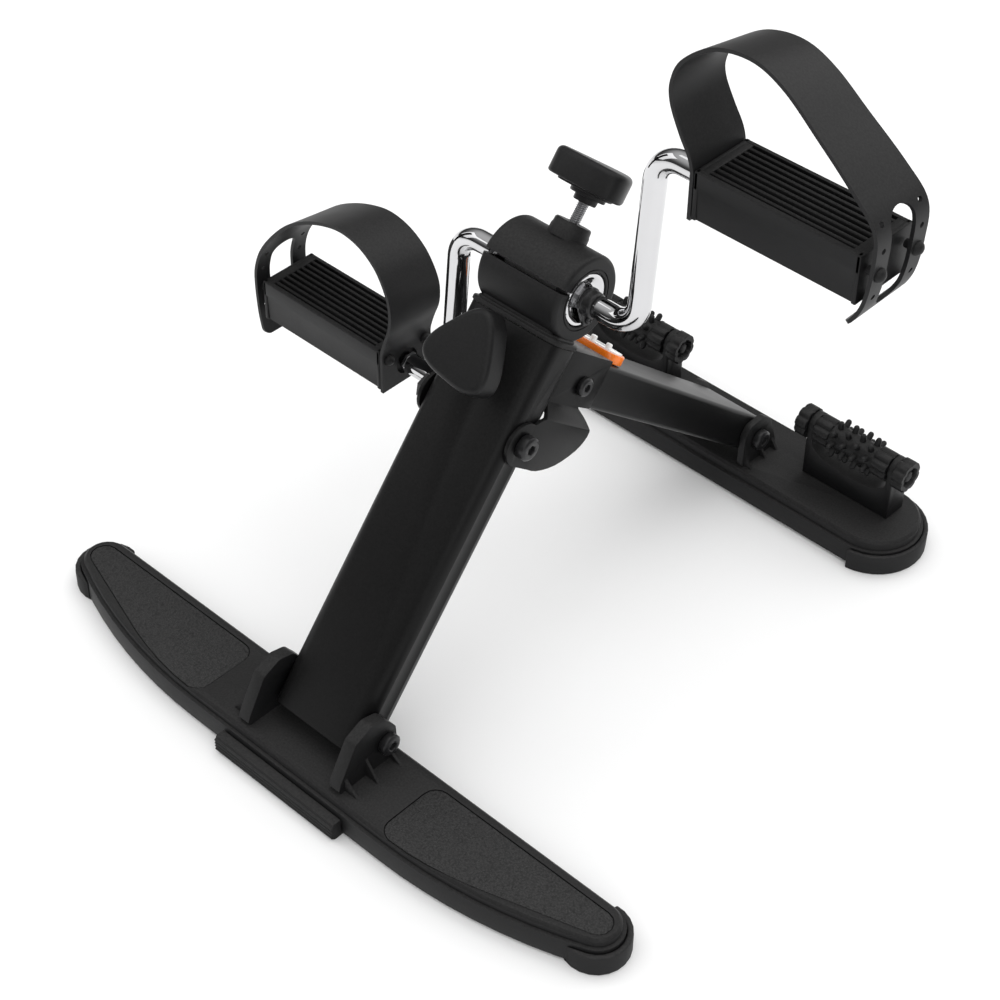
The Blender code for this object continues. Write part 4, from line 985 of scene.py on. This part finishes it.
def strap_line(side_name):
    """A strap's centreline in X and Z, drawn on the right, from its inner end to its tail."""
    start = PEDAL_INNER - 0.0013
    end = PEDAL_OUTER + 0.0060
    points = [(start, -0.0125), (start, -0.0060), (start, 0.0066), (start, 0.0125)]
    if side_name == "right":
        points += [(0.0910, 0.0200), (0.0850, 0.0300), (0.0790, 0.0430), (0.0785, 0.0540), (0.0840, 0.0660)]
        points += [(0.1000, 0.0785), (0.1200, 0.0820), (0.1380, 0.0755), (0.1580, 0.0600), (0.1780, 0.0430)]
        points += [(end - 0.0010, 0.0280), (end, 0.0080), (end - 0.0020, -0.0080)]
        points += [(end - 0.0060, -0.0180), (end - 0.0110, -0.0240)]
    else:
        points += [(0.0905, 0.0220), (0.0865, 0.0340), (0.0860, 0.0470), (0.0890, 0.0580), (0.0960, 0.0695)]
        points += [(0.1070, 0.0775), (0.1200, 0.0805), (0.1330, 0.0785), (0.1480, 0.0725), (0.1625, 0.0630)]
        points += [(0.1760, 0.0490), (0.1865, 0.0340), (end - 0.0008, 0.0200), (end, 0.0080)]
        points += [(end - 0.0010, -0.0080), (end - 0.0025, -0.0170), (end - 0.0045, -0.0250)]
    return smooth_line(points, 8)


def strap_ruler(line):
    """Distance along the strap's centreline of each of its points."""
    run = [0.0]
    for a, b in zip(line, line[1:]):
        run.append(run[-1] + (b - a).length)
    return run


def strap_run_at(line, run, height, outer):
    """Distance along the strap where its inner or outer leg passes a height."""
    span = range(len(line) - 1)
    for i in reversed(span) if outer else span:
        a, b = line[i].y, line[i + 1].y
        if min(a, b) <= height <= max(a, b):
            return run[i] + (run[i + 1] - run[i]) * (height - a) / (b - a or 1.0)
    raise ValueError("the strap doesn't pass this height")


def flat_strap(total, slot_hole, round_holes):
    """The strap laid flat as triangles: its outline, an oval slot and round holes."""
    half = PEDAL_HALF
    corner = 0.0050
    outline = [(0.0, -half), (total - corner, -half)]
    outline += arc((total - corner, corner - half), corner, -90, 0, 6)[1:]
    outline += arc((total - corner, half - corner), corner, 0, 90, 6) + [(0.0, half)]
    outline = split_long(outline, 0.0025)
    low, high, reach = slot_hole
    slot_line = arc((high - reach, 0.0), reach, -90, 90, 14) + arc((low + reach, 0.0), reach, 90, 270, 14)
    loops = [outline, split_long(slot_line, 0.0025)]
    loops += [arc(centre, radius, 0, 360 - 22.5, 15) for centre, radius in round_holes]
    points = [Vector(p) for loop in loops for p in loop]
    edges = []
    first = 0
    for loop in loops:
        count = len(loop)
        edges += [(first + i, first + (i + 1) % count) for i in range(count)]
        first += count

    def open_at(x, y, margin=0.0):
        nearest = min(max(x, low + reach), high - reach)
        if math.hypot(x - nearest, y) < reach + margin:
            return True
        return any(math.hypot(x - cx, y - cy) < radius + margin for (cx, cy), radius in round_holes)

    steps = int(total / 0.0025)
    for i in range(1, steps):
        for j in range(1, 10):
            x, y = total * i / steps, -half + 2 * half * j / 10
            corner_out = x > total - corner and abs(y) > half - corner
            if not open_at(x, y, 0.0008) and not corner_out:
                points.append(Vector((x, y)))
    verts, _, faces, _, _, _ = delaunay_2d_cdt(points, edges, [], 0, 1e-7)
    kept = []
    for face in faces:
        x = sum(verts[i].x for i in face) / len(face)
        y = sum(verts[i].y for i in face) / len(face)
        beyond = x > total - corner and abs(y) > half - corner
        if beyond and math.hypot(x - total + corner, abs(y) - half + corner) > corner:
            continue
        if not open_at(x, y):
            kept.append(face)
    return verts, kept


def split_long(loop, most):
    points = []
    for i, a in enumerate(loop):
        b = loop[(i + 1) % len(loop)]
        pieces = max(1, math.ceil(math.dist(a, b) / most))
        for k in range(pieces):
            points.append((a[0] + (b[0] - a[0]) * k / pieces, a[1] + (b[1] - a[1]) * k / pieces))
    return points


def strap_mesh(side_name):
    """The flat strap bent along its line, with both faces and its edges."""
    line = strap_line(side_name)
    run = strap_ruler(line)
    stud_run = strap_run_at(line, run, STUD_Z, True)
    spindle_run = strap_run_at(line, run, 0.0, False)
    holes = [((spindle_run, 0.0), 0.0078)]
    for step in (-2, -1, 1):
        for y in (-STUD_Y, STUD_Y):
            holes.append(((stud_run + step * 0.0125, y), 0.0014))
    slot_hole = (stud_run - 0.0285, stud_run + 0.0235, 0.0086)
    verts, faces = flat_strap(run[-1], slot_hole, holes)
    thickness = sizes().strap / 2
    tilt = sizes().strap_tilt

    def bent(x, y, offset):
        i = min(max(next((k for k, r in enumerate(run) if r > x), len(run) - 1) - 1, 0), len(line) - 2)
        t = (x - run[i]) / (run[i + 1] - run[i])
        point = line[i].lerp(line[i + 1], t)
        before = (line[i + 1] - line[i]).normalized()
        after = (line[min(i + 2, len(line) - 1)] - line[min(i + 1, len(line) - 2)]).normalized()
        along = before.lerp(after, t).normalized()
        across = Vector((-along.y, along.x))
        rise = max(0.0, min(1.0, (point.y - 0.020) / 0.060))
        drop = tilt * rise * rise * (3 - 2 * rise) * (y + PEDAL_HALF) / (2 * PEDAL_HALF)
        return (point.x + across.x * offset, y, point.y + across.y * offset - drop)

    bm = bmesh.new()
    upper = [bm.verts.new(bent(v.x, v.y, thickness)) for v in verts]
    lower = [bm.verts.new(bent(v.x, v.y, -thickness)) for v in verts]
    borders = {}
    for face in faces:
        bm.faces.new([upper[i] for i in face])
        bm.faces.new([lower[i] for i in reversed(face)])
        for i, start in enumerate(face):
            edge = (start, face[(i + 1) % len(face)])
            borders[edge] = borders.get(edge[::-1]) is None
            if not borders[edge]:
                borders[edge[::-1]] = False
    for (a, b), alone in borders.items():
        if alone:
            bm.faces.new((upper[b], upper[a], lower[a], lower[b]))
    loose = [vert for vert in bm.verts if not vert.link_faces]
    bmesh.ops.delete(bm, geom=loose, context="VERTS")
    return bm


def build_straps():
    for side_name, side in SIDES:
        strap = shifted(strap_mesh(side_name), flipped(side))
        piece(f"foot_strap_{side_name}", strap, "strap", f"strap_{side_name}", pedal_place(side_name), 50.0)


# Stage --------------------------------------------------------------------------------------------
def area_light(name, location, target, size, power):
    light = bpy.data.lights.new(name, "AREA")
    light.shape = "RECTANGLE"
    light.size, light.size_y = size
    light.energy = power
    item = bpy.data.objects.new(name, light)
    bpy.context.scene.collection.objects.link(item)
    item.location = location
    item.rotation_euler = (Vector(target) - Vector(location)).to_track_quat("-Z", "Y").to_euler()


def dark_card(name, location, target, size):
    """A black card that only shows in reflections, for dark streaks along the chrome."""
    bm = bmesh.new()
    bmesh.ops.create_grid(bm, x_segments=1, y_segments=1, size=0.5)
    mesh = bpy.data.meshes.new(name)
    bm.to_mesh(mesh)
    bm.free()
    item = bpy.data.objects.new(name, mesh)
    bpy.context.scene.collection.objects.link(item)
    item.location = location
    item.scale = (size[0], size[1], 1.0)
    item.rotation_euler = (Vector(target) - Vector(location)).to_track_quat("Z", "Y").to_euler()
    material, _, shader = base_material(f"{name}_black")
    shader.inputs["Base Color"].default_value = (0.004, 0.004, 0.004, 1.0)
    shader.inputs["Roughness"].default_value = 1.0
    shader.inputs["Specular IOR Level"].default_value = 0.0
    mesh.materials.append(material)
    for ray in ("visible_camera", "visible_diffuse", "visible_shadow", "visible_transmission"):
        setattr(item, ray, False)


def studio_sky(tree):
    """White all round for the floor, but seen in gloss as bright overhead and dark at the walls."""
    where = tree.nodes.new("ShaderNodeTexCoord").outputs["Generated"]
    split = tree.nodes.new("ShaderNodeSeparateXYZ")
    linked(tree, where, split.inputs[0])
    height = tree.nodes.new("ShaderNodeMapRange")
    height.interpolation_type = "SMOOTHSTEP"
    for socket, value in (("From Min", 0.15), ("From Max", 0.95), ("To Min", 0.05), ("To Max", 0.60)):
        height.inputs[socket].default_value = value
    linked(tree, split.outputs["Z"], height.inputs["Value"])
    glossy = tree.nodes.new("ShaderNodeLightPath").outputs["Is Glossy Ray"]
    mix = tree.nodes.new("ShaderNodeMix")
    linked(tree, glossy, mix.inputs["Factor"])
    mix.inputs["A"].default_value = 1.05
    linked(tree, height.outputs["Result"], mix.inputs["B"])
    linked(tree, mix.outputs["Result"], tree.nodes["Background"].inputs["Strength"])


def build_stage():
    scene = bpy.context.scene
    bm = bmesh.new()
    bmesh.ops.create_grid(bm, x_segments=2, y_segments=2, size=6.0)
    mesh = bpy.data.meshes.new("studio_floor")
    bm.to_mesh(mesh)
    bm.free()
    floor = bpy.data.objects.new("studio_floor", mesh)
    scene.collection.objects.link(floor)
    material, tree, shader = base_material("floor_paper")
    shade = add_surface(tree, shader, colours().floor, 0.9, 0.01, 0.0, 3.0)
    linked(tree, shade, shader.inputs["Base Color"])
    shader.inputs["Specular IOR Level"].default_value = 0.0
    mesh.materials.append(material)

    world = bpy.data.worlds.new("studio")
    world.use_nodes = True
    world.node_tree.nodes["Background"].inputs["Color"].default_value = (1.0, 1.0, 1.0, 1.0)
    studio_sky(world.node_tree)
    scene.world = world
    scene.view_settings.view_transform = "Standard"

    middle = (0.0, 0.0, 0.15)
    area_light("overhead", (0.1, 0.2, 1.6), middle, (1.6, 1.6), 6.0)
    area_light("left_window", (-1.5, -0.6, 1.0), middle, (1.2, 1.2), 4.5)
    area_light("right_window", (1.3, -1.0, 0.9), middle, (0.8, 1.2), 3.5)
    area_light("rear_window", (0.3, 1.6, 0.9), middle, (1.4, 0.9), 5.0)
    dark_card("card_left", (-0.9, -0.25, 0.30), middle, (0.25, 1.0))
    dark_card("card_front", (0.35, -1.1, 0.25), middle, (0.22, 0.9))

    camera = bpy.data.cameras.new("camera")
    camera.lens = 85.1
    camera.sensor_width = 36.0
    item = bpy.data.objects.new("camera", camera)
    scene.collection.objects.link(item)
    turn = Euler((math.radians(47.28), 0.0, math.radians(43.39))).to_matrix()
    item.matrix_world = (Matrix.Rotation(math.radians(0.854), 3, "X") @ turn).to_4x4()
    item.location = (0.6271, -0.7082, 0.9283)
    scene.camera = item


# Operators ----------------------------------------------------------------------------------------
class ExerciserPost(bpy.types.Operator):
    """Builds the leaning post and its pivot bolt"""

    bl_idname = "exerciser.post"
    bl_label = "Post"

    def execute(self, context):
        build_post()
        return {"FINISHED"}


class ExerciserDrum(bpy.types.Operator):
    """Builds the brake drum's two shells and its chrome rings"""

    bl_idname = "exerciser.drum"
    bl_label = "Drum"

    def execute(self, context):
        build_drum()
        return {"FINISHED"}


class ExerciserKnobs(bpy.types.Operator):
    """Builds the tension knob and the lock knob with their screws"""

    bl_idname = "exerciser.knobs"
    bl_label = "Knobs"

    def execute(self, context):
        build_knobs()
        return {"FINISHED"}


class ExerciserFrontFoot(bpy.types.Operator):
    """Builds the curved front foot with its pads, caps and strip"""

    bl_idname = "exerciser.front_foot"
    bl_label = "Front foot"

    def execute(self, context):
        build_front_foot()
        return {"FINISHED"}


class ExerciserArm(bpy.types.Operator):
    """Builds the folding arm and its bracket"""

    bl_idname = "exerciser.arm"
    bl_label = "Folding arm"

    def execute(self, context):
        build_arm()
        return {"FINISHED"}


class ExerciserCounter(bpy.types.Operator):
    """Builds the pedal counter on the arm"""

    bl_idname = "exerciser.counter"
    bl_label = "Counter"

    def execute(self, context):
        build_counter()
        return {"FINISHED"}


class ExerciserRearFoot(bpy.types.Operator):
    """Builds the rear foot with its caps and roller cradles"""

    bl_idname = "exerciser.rear_foot"
    bl_label = "Rear foot"

    def execute(self, context):
        build_rear_foot()
        return {"FINISHED"}


class ExerciserRollers(bpy.types.Operator):
    """Builds the nubbed massage rollers and the fluted wheels beside them"""

    bl_idname = "exerciser.rollers"
    bl_label = "Massage rollers"

    def execute(self, context):
        build_rollers()
        return {"FINISHED"}


class ExerciserCrank(bpy.types.Operator):
    """Builds the bent crank rods and their hubs"""

    bl_idname = "exerciser.crank"
    bl_label = "Crank"

    def execute(self, context):
        build_crank()
        return {"FINISHED"}


class ExerciserPedals(bpy.types.Operator):
    """Builds the slatted pedals"""

    bl_idname = "exerciser.pedals"
    bl_label = "Pedals"

    def execute(self, context):
        build_pedals()
        return {"FINISHED"}


class ExerciserStraps(bpy.types.Operator):
    """Builds the foot straps with their slots and holes"""

    bl_idname = "exerciser.straps"
    bl_label = "Foot straps"

    def execute(self, context):
        build_straps()
        return {"FINISHED"}


class ExerciserStage(bpy.types.Operator):
    """Sets out the floor, the studio lights and the camera"""

    bl_idname = "exerciser.stage"
    bl_label = "Stage"

    def execute(self, context):
        build_stage()
        return {"FINISHED"}


OPERATORS = (
    ExerciserPost,
    ExerciserDrum,
    ExerciserKnobs,
    ExerciserFrontFoot,
    ExerciserArm,
    ExerciserCounter,
    ExerciserRearFoot,
    ExerciserRollers,
    ExerciserCrank,
    ExerciserPedals,
    ExerciserStraps,
    ExerciserStage,
)


class ExerciserPanel(bpy.types.Panel):
    """Lists the exerciser's sizes, colours and pieces"""

    bl_idname = "VIEW3D_PT_exerciser"
    bl_label = "Pedal exerciser"
    bl_space_type = "VIEW_3D"
    bl_region_type = "UI"
    bl_category = "Exerciser"

    def draw(self, context):
        layout = self.layout
        for group in (context.scene.exerciser_sizes, context.scene.exerciser_colours):
            box = layout.box()
            for name in group.__annotations__:
                box.prop(group, name)
        for operator in OPERATORS:
            layout.operator(operator.bl_idname)


CLASSES = (ExerciserSizes, ExerciserColours, *OPERATORS, ExerciserPanel)


def register():
    for item in CLASSES:
        bpy.utils.register_class(item)
    bpy.types.Scene.exerciser_sizes = bpy.props.PointerProperty(type=ExerciserSizes)
    bpy.types.Scene.exerciser_colours = bpy.props.PointerProperty(type=ExerciserColours)


def unregister():
    del bpy.types.Scene.exerciser_colours
    del bpy.types.Scene.exerciser_sizes
    for item in reversed(CLASSES):
        bpy.utils.unregister_class(item)


def main():
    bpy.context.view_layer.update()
    register()
    for operator in OPERATORS:
        group, name = operator.bl_idname.split(".")
        getattr(getattr(bpy.ops, group), name)()
    bpy.context.view_layer.update()


if __name__ == "__main__":
    main()
